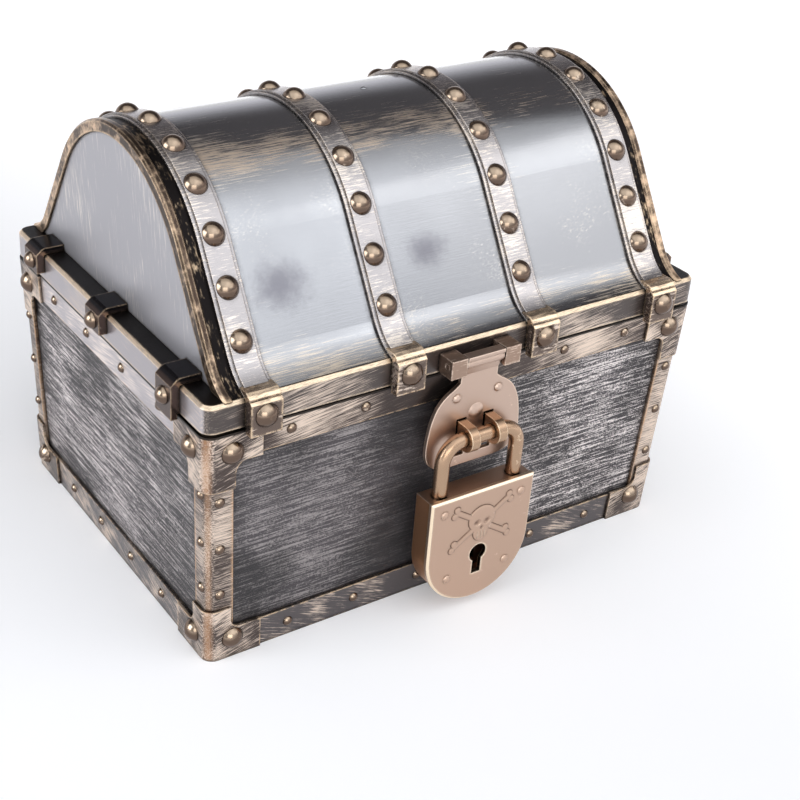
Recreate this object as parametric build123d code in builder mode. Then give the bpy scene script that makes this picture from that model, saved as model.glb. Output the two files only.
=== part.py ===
"""Treasure chest box: a tapered, strapped box with a barrel lid, a hasp and a hanging padlock.

Millimetres. +Z is up, the front faces -Y, the length runs along X. The origin is the middle of
the underside of the box.
"""
import math
import os

from build123d import *

os.makedirs("parts", exist_ok=True)

# Box, measured over the straps at the top
box_length = 208.6
box_depth = 152.8
box_height = 94.2
base_draw_in = 2.85
panel_thickness = 5.0
floor_thickness = 5.0
strap_thickness = 1.4
strap_height = 10.9
base_strap_height = 12.0
angle_front_width = 10.0
angle_side_width = 8.4
corner_radius = 3.6

# Corner plates, over the straps
plate_thickness = 1.0
plate_reach = 20.5
plate_rise = 22.0
plate_end_height = 11.6
base_plate_end_height = 12.8
plate_post_width = 11.0
plate_scoop_radius = 4.2
plate_rivet_inset = 9.3
plate_rivet_height = 8.6

# Rivet heads
rivet_radius = 4.2
rivet_rise = 2.9
rivet_sink = 0.25
bracket_rivet_radius = 4.3
bracket_rivet_rise = 2.9
end_rivet_radius = 3.3
end_rivet_rise = 2.7

# Lid
seat_gap = 0.3
shadow_gap = 0.95
rim_overhang = 0.7
rim_height = 10.2
rim_corner_radius = 4.4
rim_chamfer = 1.1
rim_end_width = 11.5
rim_side_width = 6.6
crown_radius = 53.0
crown_angle = 57.4
flare_radius = 22.0
flare_foot_angle = 20.9
foot_inset = 1.77
shell_thickness = 2.0
lid_end_ledge = 7.1
trim_width = 3.4
trim_rise = 0.9
trim_foot_inset = 0.4
trim_edge = 0.8
cap_thickness = 2.4

# Lid bands
band_width = 11.6
band_rise = 1.1
band_rib_width = 8.9
band_rib_rise = 0.7
band_outer_inset = 13.0
band_inner_share = 0.34
rivet_foot_clearance = 4.0
rivets_each_side = 5

# Rim brackets
bracket_width = 11.6
bracket_proud = 4.2
bracket_drop = 2.1
bracket_clearance = 0.8
bracket_top = 9.5
bracket_bead = 0.9
bracket_ledge = 0.5
bracket_step = 0.7
bracket_slope_run = 1.4
bracket_slope_rise = 0.65
bracket_rivet_drop = 5.2
end_bracket_proud = 3.2
end_bracket_inset = 22.6
end_bracket_width = 11.0
end_bracket_top = 10.4
end_bracket_low_rise = 3.0
end_bracket_lean = 0.9
end_bracket_slope_rise = 2.1
end_bracket_hood_run = 1.2
end_bracket_hood_rise = 0.4
end_rivet_place_rise = 6.85

# Hasp and its mount: rises from the rim's lower edge, drops from the hasp's axis
mount_lug_inner = 8.2
mount_lug_width = 6.6
mount_proud = 7.6
mount_low_rise = 0.45
mount_high_rise = 7.45
mount_plate = 1.6
mount_link_rise = 4.0
hasp_pin_radius = 1.2
hasp_axis_proud = 5.0
hasp_axis_rise = 4.45
hasp_knuckle_radius = 2.4
hasp_face_inset = 0.4
hasp_head_proud = 2.7
hasp_head_back = 1.0
hasp_head_rise = 2.9
hasp_head_flat = 1.0
hasp_bend_drop = 5.4
hasp_thickness = 1.6
hasp_neck_half = 7.9
hasp_neck_share = 1.0
hasp_belly_share = 0.06
hasp_shoulder_half = 13.4
hasp_shoulder_drop = 12.4
hasp_belly_half = 20.4
hasp_belly_drop = 31.6
hasp_low_drop = 42.2
hasp_foot_half = 9.0
hasp_foot_corner_drop = 38.6
slot_place = 5.95
slot_width = 4.4
slot_low_drop = 38.3
slot_high_drop = 22.9
hasp_boss_radius = 3.2
hasp_boss_rise = 1.0
hasp_boss_drop = 21.4
hasp_rivet_radius = 1.8
hasp_rivet_rise = 1.1
hasp_rivet_place = 9.0
hasp_rivet_drop = 14.1

# Staple
ring_width = 3.6
ring_clearance = 0.4
ring_wall = 2.1
staple_plate_width = 26.0
staple_low_drop = 41.1
staple_high_drop = 20.1
staple_plate_thickness = 2.2
staple_gap = 0.3
staple_edge_share = 0.25
ring_tangent_share = 0.55

# Padlock: drops from the bar's axis for the shackle, from the case's top for the case
bar_radius = 2.75
bar_proud = 9.3
bar_drop = 28.4
bar_fit = 0.08
leg_place = 16.4
leg_corner_radius = 7.9
case_half = 22.8
case_drop = 20.4
case_height = 47.5
case_behind_bar = 6.0
case_before_bar = 3.2
lock_plate_thickness = 2.0
lock_bevel = 0.7
case_edge = 0.8
plate_margin = 0.5
long_leg_depth = 24.0
short_leg_depth = 2.9
leg_travel = 3.2
leg_end_gap = 0.3
keyhole_radius = 3.7
keyhole_drop = 27.5
keyhole_slot_half = 2.0
keyhole_slot_drop = 9.0
lock_rivet_radius = 1.7
lock_rivet_rise = 0.9
lock_rivet_top_place = 17.0
lock_rivet_top_drop = 5.8
lock_rivet_low_place = 13.2
lock_rivet_low_drop = 35.0
pocket_left = 7.5
pocket_right = 9.5
pocket_top_drop = 7.8
pocket_height = 31.0
pocket_depth = 5.6
bolt_top_drop = 8.8
bolt_height = 4.0
bolt_thickness = 3.8
bolt_arm_width = 3.0
bolt_arm_length = 9.5
bolt_travel = 2.4
bolt_fit = 0.1
notch_clearance = 0.2
spring_thickness = 0.5
spring_width_share = 0.67
spring_reach = 3.2
spring_rise = 8.0
spring_foot_rise = 1.5

# Hinges at the back
hinge_plate_gap = 14.8
hinge_width = 24.0
hinge_pin_radius = 1.0
hinge_pin_fit = 0.06
hinge_knuckle_radius = 2.2
hinge_axis_proud = 2.4
hinge_leaf_thickness = 1.2
hinge_leaf_length = 9.5
hinge_knuckle_gap = 0.3
hinge_knuckle_share = 0.4
hinge_leaf_root_share = 1.5
hinge_lid_root_share = 1.5

# Overrun of every cut past the face that it leaves
overrun = 3.0

# Sizes worked out from those above
strap_half_length = box_length / 2
strap_half_depth = box_depth / 2
panel_half_length = strap_half_length - strap_thickness
panel_half_depth = strap_half_depth - strap_thickness
rim_bottom = box_height + shadow_gap
rim_top = rim_bottom + rim_height
rim_length = box_length + 2 * rim_overhang
rim_depth = box_depth + 2 * rim_overhang
rim_inner_length = rim_length - 2 * rim_end_width
rim_inner_depth = rim_depth - 2 * rim_side_width
lid_length = rim_length - 2 * lid_end_ledge
draw_angle = math.atan(base_draw_in / box_height)
lean_cos = math.cos(draw_angle)
lean_sin = math.sin(draw_angle)
hinge_axis_high = box_height + shadow_gap / 2
hinge_leaf_root = hinge_pin_radius * hinge_leaf_root_share
hinge_lid_root = hinge_knuckle_radius * hinge_lid_root_share
staple_plate_edge = staple_plate_thickness * staple_edge_share
spring_width = bolt_thickness * spring_width_share
half_rim_length = rim_length / 2
half_rim_depth = rim_depth / 2
band_foot_half = half_rim_depth - trim_foot_inset
trim_foot_half = half_rim_depth - trim_foot_inset
band_outer_place = lid_length / 2 - band_outer_inset
band_inner_place = band_outer_place * band_inner_share
end_bracket_place = half_rim_depth - end_bracket_inset
hinge_axis_out = half_rim_depth + hinge_axis_proud
hinge_place = strap_half_length - plate_reach - hinge_width / 2 - hinge_plate_gap

# The lid's curve: the flare stands on the rim, the straight flank joins it to the crown
crown_bend = math.radians(crown_angle)
foot_bend = math.radians(flare_foot_angle)
flare_out = half_rim_depth - foot_inset + flare_radius * math.sin(foot_bend)
flare_high = rim_top + flare_radius * math.cos(foot_bend)
flank_out = flare_out - flare_radius * math.sin(crown_bend)
flank_high = flare_high - flare_radius * math.cos(crown_bend)
flank_length = (flank_out - crown_radius * math.sin(crown_bend)) / math.cos(crown_bend)
crown_end_high = flank_high + flank_length * math.sin(crown_bend)
crown_center = crown_end_high - crown_radius * math.cos(crown_bend)
rivet_run = (crown_radius + band_rise + band_rib_rise) * crown_bend + flank_length
rivet_pitch = (rivet_run - rivet_foot_clearance) / rivets_each_side
mount_low = rim_bottom + mount_low_rise
mount_high = rim_bottom + mount_high_rise
mount_link_high = rim_bottom + mount_link_rise
hasp_axis_out = half_rim_depth + hasp_axis_proud
hasp_axis_high = rim_bottom + hasp_axis_rise
hasp_face_out = hasp_axis_out - hasp_face_inset
hasp_head_high = hasp_axis_high + hasp_head_rise
hasp_bend_high = hasp_axis_high - hasp_bend_drop
hasp_shoulder_high = hasp_axis_high - hasp_shoulder_drop
hasp_belly_high = hasp_axis_high - hasp_belly_drop
hasp_foot_corner_high = hasp_axis_high - hasp_foot_corner_drop
hasp_low = hasp_axis_high - hasp_low_drop
slot_low = hasp_axis_high - slot_low_drop
slot_high = hasp_axis_high - slot_high_drop
hasp_boss_high = hasp_axis_high - hasp_boss_drop
hasp_rivet_high = hasp_axis_high - hasp_rivet_drop
staple_plate_low = hasp_axis_high - staple_low_drop
staple_plate_high = hasp_axis_high - staple_high_drop
bar_out = half_rim_depth + bar_proud
bar_high = hasp_axis_high - bar_drop
case_high = bar_high - case_drop
case_low = case_high - case_height
case_arc_high = case_low + case_half
case_back = bar_out - case_behind_bar
case_split = bar_out + case_before_bar
lock_face_out = case_split + lock_plate_thickness
keyhole_high = case_high - keyhole_drop
keyhole_slot_low = keyhole_high - keyhole_slot_drop
lock_rivet_top_high = case_high - lock_rivet_top_drop
lock_rivet_low_high = case_high - lock_rivet_low_drop
pocket_high = case_high - pocket_top_drop
pocket_low = pocket_high - pocket_height
pocket_back = case_split - pocket_depth
bolt_high = case_high - bolt_top_drop
bolt_low = bolt_high - bolt_height
bolt_arm_low = bolt_low - bolt_arm_length
spring_low = bolt_arm_low + spring_foot_rise


def draw(height):
    """How far the walls are drawn in at a height above the base."""
    return base_draw_in * (1 - height / box_height)


def rivet_sphere(radius, rise):
    """Sphere radius and lowest latitude of a domed head."""
    sphere = (radius * radius + rise * rise) / (rise + rise)
    return sphere, math.degrees(math.asin((sphere - rise) / sphere))


# Planes of the four panel faces, local y up the slope
front_face = Plane(
    origin=(0, -(panel_half_depth - base_draw_in), 0),
    x_dir=(1, 0, 0),
    z_dir=(0, -lean_cos, -lean_sin),
)
rear_face = Plane(
    origin=(0, panel_half_depth - base_draw_in, 0),
    x_dir=(-1, 0, 0),
    z_dir=(0, lean_cos, -lean_sin),
)
left_face = Plane(
    origin=(-(panel_half_length - base_draw_in), 0, 0),
    x_dir=(0, -1, 0),
    z_dir=(-lean_cos, 0, -lean_sin),
)
right_face = Plane(
    origin=(panel_half_length - base_draw_in, 0, 0),
    x_dir=(0, 1, 0),
    z_dir=(lean_cos, 0, -lean_sin),
)


def wall_panel(half, along_x, outer):
    """A tapered board: half width at the top, the axis it runs along, outer face at the top."""
    sign = math.copysign(1, outer)
    middle = outer - sign * panel_thickness / 2
    with BuildPart() as board:
        for height in (0, box_height):
            width = 2 * (half - draw(height))
            place = middle - sign * draw(height)
            with BuildSketch(Plane.XY.offset(height)):
                if along_x:
                    with Locations((0, place)):
                        Rectangle(width, panel_thickness)
                else:
                    with Locations((place, 0)):
                        Rectangle(panel_thickness, width)
        loft(ruled=True)
    return board


def strap(along_x, side, low, high):
    """A flat strap on one panel, between two corner angles."""
    with BuildPart() as piece:
        for level in (low, high):
            with BuildSketch(Plane.XY.offset(level)):
                if along_x:
                    width = 2 * (strap_half_length - draw(level) - angle_front_width)
                    place = panel_half_depth + strap_thickness / 2 - draw(level)
                    with Locations((0, side * place)):
                        Rectangle(width, strap_thickness)
                else:
                    width = 2 * (strap_half_depth - draw(level) - angle_side_width)
                    place = panel_half_length + strap_thickness / 2 - draw(level)
                    with Locations((side * place, 0)):
                        Rectangle(strap_thickness, width)
        loft(ruled=True)
    return piece


def corner_section(height, front, side, inner, outer):
    """Points of an L round the front left corner, between two levels outside the panels."""
    x_out = -(panel_half_length + outer - draw(height))
    y_out = -(panel_half_depth + outer - draw(height))
    x_in = -(panel_half_length + inner - draw(height))
    y_in = -(panel_half_depth + inner - draw(height))
    x_end = -(strap_half_length - draw(height)) + front
    y_end = -(strap_half_depth - draw(height)) + side
    return [
        (x_out, y_out),
        (x_end, y_out),
        (x_end, y_in),
        (x_in, y_in),
        (x_in, y_end),
        (x_out, y_end),
    ]


def crown_points(offset, foot_limit):
    """Half outline of the lid: apex, crown end, flank end, flare middle and foot."""
    angle = math.radians(crown_angle)
    normal = Vector(math.sin(angle), math.cos(angle))
    down = Vector(math.cos(angle), -math.sin(angle))
    center = Vector(0, crown_center)
    crown_end = center + normal * (crown_radius + offset)
    flank_end = crown_end + down * flank_length
    flare_center = center + normal * (crown_radius + flare_radius) + down * flank_length
    flare = flare_radius - offset
    if foot_limit:
        turn = math.asin((flare_center.X - foot_limit) / flare)
    else:
        turn = math.acos((flare_center.Y - rim_top) / flare)
    middle = (angle + turn) / 2
    flare_middle = flare_center - Vector(math.sin(middle), math.cos(middle)) * flare
    flare_end = flare_center - Vector(math.sin(turn), math.cos(turn)) * flare
    return crown_end, flank_end, flare_middle, flare_end


def crown_face(offset, foot_limit=None):
    """Closed outline of the lid's cross-section, offset outward, standing on the rim."""
    crown_end, flank_end, flare_middle, flare_end = crown_points(offset, foot_limit)
    apex = (0, crown_center + crown_radius + offset)
    with BuildLine() as outline:
        ThreePointArc((-crown_end.X, crown_end.Y), apex, (crown_end.X, crown_end.Y))
        for side in (-1, 1):
            Line((side * crown_end.X, crown_end.Y), (side * flank_end.X, flank_end.Y))
            ThreePointArc(
                (side * flank_end.X, flank_end.Y),
                (side * flare_middle.X, flare_middle.Y),
                (side * flare_end.X, flare_end.Y),
            )
            if foot_limit:
                Line((side * flare_end.X, flare_end.Y), (side * flare_end.X, rim_top))
        Line((-flare_end.X, rim_top), (flare_end.X, rim_top))
    return outline


# The box itself
front_panel = wall_panel(panel_half_length, True, -panel_half_depth)
rear_panel = wall_panel(panel_half_length, True, panel_half_depth)
left_end_panel = wall_panel(panel_half_depth - panel_thickness, False, -panel_half_length)
right_end_panel = wall_panel(panel_half_depth - panel_thickness, False, panel_half_length)

with BuildPart() as floor_panel:
    for level in (0, floor_thickness):
        with BuildSketch(Plane.XY.offset(level)):
            Rectangle(
                2 * (panel_half_length - panel_thickness - draw(level)),
                2 * (panel_half_depth - panel_thickness - draw(level)),
            )
    loft(ruled=True)

strap_low = box_height - strap_height
front_top_strap = strap(True, -1, strap_low, box_height)
rear_top_strap = strap(True, 1, strap_low, box_height)
left_top_strap = strap(False, -1, strap_low, box_height)
right_top_strap = strap(False, 1, strap_low, box_height)
front_base_strap = strap(True, -1, 0, base_strap_height)
rear_base_strap = strap(True, 1, 0, base_strap_height)
left_base_strap = strap(False, -1, 0, base_strap_height)
right_base_strap = strap(False, 1, 0, base_strap_height)

with BuildPart() as front_left_corner_angle:
    for level in (0, box_height):
        section = corner_section(level, angle_front_width, angle_side_width, 0, strap_thickness)
        with BuildSketch(Plane.XY.offset(level)):
            Polygon(*section, align=None)
    loft(ruled=True)
    corner = corner_section(box_height / 2, 0, 0, 0, strap_thickness)[0]
    upright = front_left_corner_angle.edges().sort_by_distance((*corner, box_height / 2))[0]
    fillet(upright, corner_radius)

with BuildPart() as front_right_corner_angle:
    mirror(front_left_corner_angle.part, about=Plane.YZ)

with BuildPart() as rear_left_corner_angle:
    mirror(front_left_corner_angle.part, about=Plane.XZ)

with BuildPart() as rear_right_corner_angle:
    mirror(front_right_corner_angle.part, about=Plane.XZ)

# Corner plates: one wrapped plate, cut to the scooped outline on both faces
plate_outer = strap_thickness + plate_thickness
with BuildPart() as wrapped_plate:
    for level in (0, box_height):
        section = corner_section(level, plate_reach, plate_reach, strap_thickness, plate_outer)
        with BuildSketch(Plane.XY.offset(level)):
            Polygon(*section, align=None)
    loft(ruled=True)
    half_way = box_height / 2
    for level, radius in (
        (strap_thickness, corner_radius),
        (plate_outer, corner_radius + plate_thickness),
    ):
        corner = corner_section(half_way, plate_reach, plate_reach, level, level)[0]
        upright = wrapped_plate.edges().sort_by_distance((*corner, half_way))[0]
        fillet(upright, radius)


def scooped_window(width_start, flip):
    """The opening between an upper and a lower plate, as seen on one face."""
    start = width_start
    far = plate_reach + overrun
    low = base_plate_end_height
    high = box_height - plate_end_height
    low_rise = plate_rise
    high_rise = box_height - plate_rise
    sign = -1 if flip else 1
    with BuildLine() as window:
        Polyline(
            (sign * (start + plate_scoop_radius), low),
            (sign * far, low),
            (sign * far, high),
            (sign * (start + plate_scoop_radius), high),
        )
        RadiusArc(
            (sign * (start + plate_scoop_radius), low),
            (sign * start, low + plate_scoop_radius),
            sign * plate_scoop_radius,
        )
        RadiusArc(
            (sign * start, high - plate_scoop_radius),
            (sign * (start + plate_scoop_radius), high),
            sign * plate_scoop_radius,
        )
        Polyline(
            (sign * start, low + plate_scoop_radius),
            (sign * start, low_rise),
            (-sign * (overrun + overrun), low_rise),
            (-sign * (overrun + overrun), high_rise),
            (sign * start, high_rise),
            (sign * start, high - plate_scoop_radius),
        )
    return window


front_view = Plane(
    origin=(-strap_half_length, -strap_half_depth, 0), x_dir=(1, 0, 0), z_dir=(0, -1, 0)
)
side_view = Plane(
    origin=(-strap_half_length, -strap_half_depth, 0), x_dir=(0, -1, 0), z_dir=(-1, 0, 0)
)
cutter_depth = plate_outer + base_draw_in + corner_radius
with BuildPart() as front_cutter:
    with BuildSketch(front_view):
        with BuildLine():
            add(scooped_window(plate_post_width, False).line)
        make_face()
    extrude(amount=cutter_depth, both=True)
with BuildPart() as side_cutter:
    with BuildSketch(side_view):
        with BuildLine():
            add(scooped_window(plate_post_width, True).line)
        make_face()
    extrude(amount=cutter_depth, both=True)

with BuildPart() as corner_plate_pair:
    add(wrapped_plate.part)
    add(front_cutter.part, mode=Mode.SUBTRACT)
    add(side_cutter.part, mode=Mode.SUBTRACT)

lower_plate, upper_plate = corner_plate_pair.solids().sort_by(Axis.Z)

with BuildPart() as front_left_base_plate:
    add(lower_plate)
with BuildPart() as front_right_base_plate:
    mirror(lower_plate, about=Plane.YZ)
with BuildPart() as rear_left_base_plate:
    mirror(lower_plate, about=Plane.XZ)
with BuildPart() as rear_right_base_plate:
    mirror(front_right_base_plate.part, about=Plane.XZ)
with BuildPart() as front_left_top_plate:
    add(upper_plate)
with BuildPart() as front_right_top_plate:
    mirror(upper_plate, about=Plane.YZ)
with BuildPart() as rear_left_top_plate:
    mirror(upper_plate, about=Plane.XZ)
with BuildPart() as rear_right_top_plate:
    mirror(front_right_top_plate.part, about=Plane.XZ)

head_sphere, head_latitude = rivet_sphere(rivet_radius, rivet_rise)
with BuildPart() as corner_plate_rivets:
    for face, half in (
        (front_face, strap_half_length),
        (rear_face, strap_half_length),
        (left_face, strap_half_depth),
        (right_face, strap_half_depth),
    ):
        for level in (plate_rivet_height, box_height - plate_rivet_height + plate_thickness):
            reach = half - draw(level) - plate_rivet_inset
            for side in (-1, 1):
                head = Location((side * reach, level / lean_cos, plate_outer))
                with Locations(face.location * head):
                    Sphere(
                        head_sphere,
                        arc_size1=head_latitude,
                        align=(Align.CENTER, Align.CENTER, Align.MIN),
                    )

with BuildPart() as staple_plate:
    with BuildSketch(front_face):
        with Locations((0, (staple_plate_low + staple_plate_high) / 2 / lean_cos)):
            Rectangle(staple_plate_width, (staple_plate_high - staple_plate_low) / lean_cos)
    extrude(amount=staple_plate_thickness)
    outward = staple_plate.faces().sort_by(Axis.Y)[0]
    chamfer(outward.edges(), staple_plate_edge)

# Lid
with BuildPart() as rim_frame:
    with BuildSketch(Plane.XY.offset(rim_bottom)):
        RectangleRounded(rim_length, rim_depth, rim_corner_radius)
        Rectangle(rim_inner_length, rim_inner_depth, mode=Mode.SUBTRACT)
    extrude(amount=rim_height)
    top_edges = rim_frame.faces().sort_by(Axis.Z)[-1].outer_wire().edges()
    chamfer(top_edges, rim_chamfer)
    with BuildSketch(Plane.XY.offset(rim_bottom)):
        Rectangle(2 * panel_half_length - strap_thickness, 2 * panel_half_depth - strap_thickness)
        Rectangle(rim_inner_length, rim_inner_depth, mode=Mode.SUBTRACT)
    extrude(amount=-(shadow_gap - seat_gap))

with BuildPart() as lid_barrel:
    with BuildSketch(Plane.YZ):
        with BuildLine():
            add(crown_face(0).line)
        make_face()
        with BuildLine():
            add(crown_face(-shell_thickness).line)
        make_face(mode=Mode.SUBTRACT)
    extrude(amount=lid_length / 2 - trim_width, both=True)

trim_inside = shell_thickness + strap_thickness
with BuildPart() as right_edge_trim:
    with BuildSketch(Plane.YZ.offset(lid_length / 2 - trim_width)):
        with BuildLine():
            add(crown_face(trim_rise, trim_foot_half).line)
        make_face()
        with BuildLine():
            add(crown_face(-trim_inside).line)
        make_face(mode=Mode.SUBTRACT)
    extrude(amount=trim_width)
    rounded = right_edge_trim.edges().filter_by(
        lambda edge: edge.center().Z > rim_top + trim_edge
        and abs(edge.tangent_at(0).X) < trim_rise / trim_width
    )
    outer_run = rounded.filter_by(
        lambda edge: math.hypot(edge.center().Y, edge.center().Z - crown_center)
        > crown_radius - trim_edge
    )
    chamfer(outer_run.filter_by(GeomType.CIRCLE).group_by(Axis.Z)[-1], trim_edge)
with BuildPart() as left_edge_trim:
    mirror(right_edge_trim.part, about=Plane.YZ)

with BuildPart() as right_end_cap:
    with BuildSketch(Plane.YZ.offset(lid_length / 2 - trim_width)):
        with BuildLine():
            add(crown_face(-trim_inside).line)
        make_face()
    extrude(amount=cap_thickness)
with BuildPart() as left_end_cap:
    mirror(right_end_cap.part, about=Plane.YZ)


def lid_band(place):
    """A band over the lid: a flat strap with a raised middle."""
    with BuildPart() as band:
        for width, rise in ((band_width, band_rise), (band_rib_width, band_rise + band_rib_rise)):
            with BuildSketch(Plane.YZ.offset(place)):
                with BuildLine():
                    add(crown_face(rise, band_foot_half).line)
                make_face()
                with BuildLine():
                    add(crown_face(0).line)
                make_face(mode=Mode.SUBTRACT)
            extrude(amount=width / 2, both=True)
    return band


outer_left_band = lid_band(-band_outer_place)
inner_left_band = lid_band(-band_inner_place)
inner_right_band = lid_band(band_inner_place)
outer_right_band = lid_band(band_outer_place)
band_places = (-band_outer_place, -band_inner_place, band_inner_place, band_outer_place)
bands = (outer_left_band, inner_left_band, inner_right_band, outer_right_band)


def band_location(place, run):
    """Location on top of a band, a signed run of arc from the apex, z along the normal."""
    radius = crown_radius + band_rise + band_rib_rise
    bend = math.radians(crown_angle)
    turn = min(abs(run) / radius, bend)
    past = abs(run) - turn * radius
    out = radius * math.sin(turn) + past * math.cos(bend)
    high = crown_center + radius * math.cos(turn) - past * math.sin(bend)
    side = math.copysign(1, run)
    return Plane(
        origin=(place, side * out, high),
        x_dir=(1, 0, 0),
        z_dir=(0, side * math.sin(turn), math.cos(turn)),
    ).location


with BuildPart() as band_rivets:
    for place in band_places:
        for index in range(-rivets_each_side, rivets_each_side + 1):
            seat = band_location(place, index * rivet_pitch) * Location((0, 0, -rivet_sink))
            with Locations(seat):
                Sphere(
                    head_sphere,
                    arc_size1=head_latitude,
                    align=(Align.CENTER, Align.CENTER, Align.MIN),
                )
    for band in bands:
        add(band.part, mode=Mode.SUBTRACT)


def bracket_foot(outer, pad, low):
    """Lower end of a bracket's outline: over the rim only, or hanging clear of the box."""
    if low < rim_bottom:
        clear = outer + bracket_clearance
        return [(outer, rim_bottom), (clear, rim_bottom), (clear, low), (pad, low)]
    return [(outer, low), (pad, low)]


def stepped_profile(low, back):
    """Side outline of a front or rear bracket: a pad, two beads over it, a slope to the lid."""
    pad = half_rim_depth + bracket_proud
    high = rim_bottom + bracket_top
    ledge_high = high + bracket_bead
    ledge_out = pad - bracket_bead - bracket_ledge
    bead_high = ledge_high + bracket_step + bracket_bead
    bead_out = ledge_out - bracket_bead
    top = bead_high + bracket_slope_rise
    return bracket_foot(half_rim_depth, pad, low) + [
        (pad, high),
        (pad - bracket_bead, ledge_high),
        (ledge_out, ledge_high),
        (ledge_out, ledge_high + bracket_step),
        (bead_out, bead_high),
        (bead_out - bracket_slope_run, top),
        (back, top),
        (back, rim_top),
        (half_rim_depth, rim_top),
    ]


def hood_profile(low, back):
    """Side outline of an end bracket: a pad, a steep slope and a flat hood to the cap."""
    pad = half_rim_length + end_bracket_proud
    high = rim_bottom + end_bracket_top
    slope_high = high + end_bracket_slope_rise
    slope_out = half_rim_length + end_bracket_lean
    top = slope_high + end_bracket_hood_rise
    return bracket_foot(half_rim_length, pad, low) + [
        (pad, high),
        (slope_out, slope_high),
        (slope_out - end_bracket_hood_run, top),
        (back, top),
        (back, rim_top),
        (half_rim_length, rim_top),
    ]


back_inside = crown_points(0, None)[3].X - shell_thickness
with BuildPart() as front_rim_brackets:
    for place in band_places:
        with BuildSketch(Plane.YZ.offset(place)):
            profile = stepped_profile(rim_bottom - bracket_drop, back_inside)
            Polygon(*[(-out, high) for out, high in profile], align=None)
        extrude(amount=bracket_width / 2, both=True)
    add(lid_barrel.part, mode=Mode.SUBTRACT)
    for band in bands:
        add(band.part, mode=Mode.SUBTRACT)

with BuildPart() as rear_rim_brackets:
    for place in band_places:
        with BuildSketch(Plane.YZ.offset(place)):
            profile = stepped_profile(rim_bottom, back_inside)
            Polygon(*profile, align=None)
        extrude(amount=bracket_width / 2, both=True)
    add(lid_barrel.part, mode=Mode.SUBTRACT)
    for band in bands:
        add(band.part, mode=Mode.SUBTRACT)

cap_face = lid_length / 2 - trim_width + cap_thickness
end_low = rim_bottom + end_bracket_low_rise
end_rivet_high = rim_bottom + end_rivet_place_rise
pad_high = rim_top - bracket_rivet_drop
end_brackets = (
    (-end_bracket_place, rim_bottom - bracket_drop, pad_high),
    (0, end_low, end_rivet_high),
    (end_bracket_place, end_low, end_rivet_high),
)
with BuildPart() as right_rim_brackets:
    for place, low, high in end_brackets:
        with BuildSketch(Plane.XZ.offset(-place)):
            profile = hood_profile(low, cap_face)
            Polygon(*profile, align=None)
        extrude(amount=end_bracket_width / 2, both=True)
    add(right_edge_trim.part, mode=Mode.SUBTRACT)
with BuildPart() as left_rim_brackets:
    mirror(right_rim_brackets.part, about=Plane.YZ)

pad_sphere, pad_latitude = rivet_sphere(bracket_rivet_radius, bracket_rivet_rise)
end_sphere, end_latitude = rivet_sphere(end_rivet_radius, end_rivet_rise)
with BuildPart() as bracket_rivets:
    for place in band_places:
        for side in (-1, 1):
            pad_plane = Plane(
                origin=(place, side * (half_rim_depth + bracket_proud), pad_high),
                z_dir=(0, side, 0),
            )
            with Locations(pad_plane.location):
                Sphere(
                    pad_sphere,
                    arc_size1=pad_latitude,
                    align=(Align.CENTER, Align.CENTER, Align.MIN),
                )
    for place, low, high in end_brackets:
        for side in (-1, 1):
            pad_plane = Plane(
                origin=(side * (half_rim_length + end_bracket_proud), place, high),
                z_dir=(side, 0, 0),
            )
            with Locations(pad_plane.location):
                Sphere(
                    end_sphere,
                    arc_size1=end_latitude,
                    align=(Align.CENTER, Align.CENTER, Align.MIN),
                )

# Hasp mount: two lugs on the rim's front, joined by a low plate behind the hasp's neck
lug_middle = mount_lug_inner + mount_lug_width / 2
with BuildPart() as hasp_mount:
    for side in (-1, 1):
        with BuildSketch(Plane.YZ.offset(side * lug_middle)):
            Polygon(
                (-half_rim_depth, mount_low),
                (-half_rim_depth - mount_proud, mount_low),
                (-half_rim_depth - mount_proud, mount_high),
                (-half_rim_depth, mount_high),
                align=None,
            )
        extrude(amount=mount_lug_width / 2, both=True)
    with BuildSketch(Plane.YZ):
        Polygon(
            (-half_rim_depth, mount_low),
            (-half_rim_depth - mount_plate, mount_low),
            (-half_rim_depth - mount_plate, mount_link_high),
            (-half_rim_depth, mount_link_high),
            align=None,
        )
    extrude(amount=mount_lug_inner, both=True)
    with BuildSketch(Plane.YZ):
        with Locations((-hasp_axis_out, hasp_axis_high)):
            Circle(hasp_pin_radius)
    extrude(amount=mount_lug_inner + mount_lug_width + overrun, both=True, mode=Mode.SUBTRACT)

with BuildPart() as hasp_pin:
    with BuildSketch(Plane.YZ):
        with Locations((-hasp_axis_out, hasp_axis_high)):
            Circle(hasp_pin_radius)
    extrude(amount=mount_lug_inner + mount_lug_width, both=True)

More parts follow.
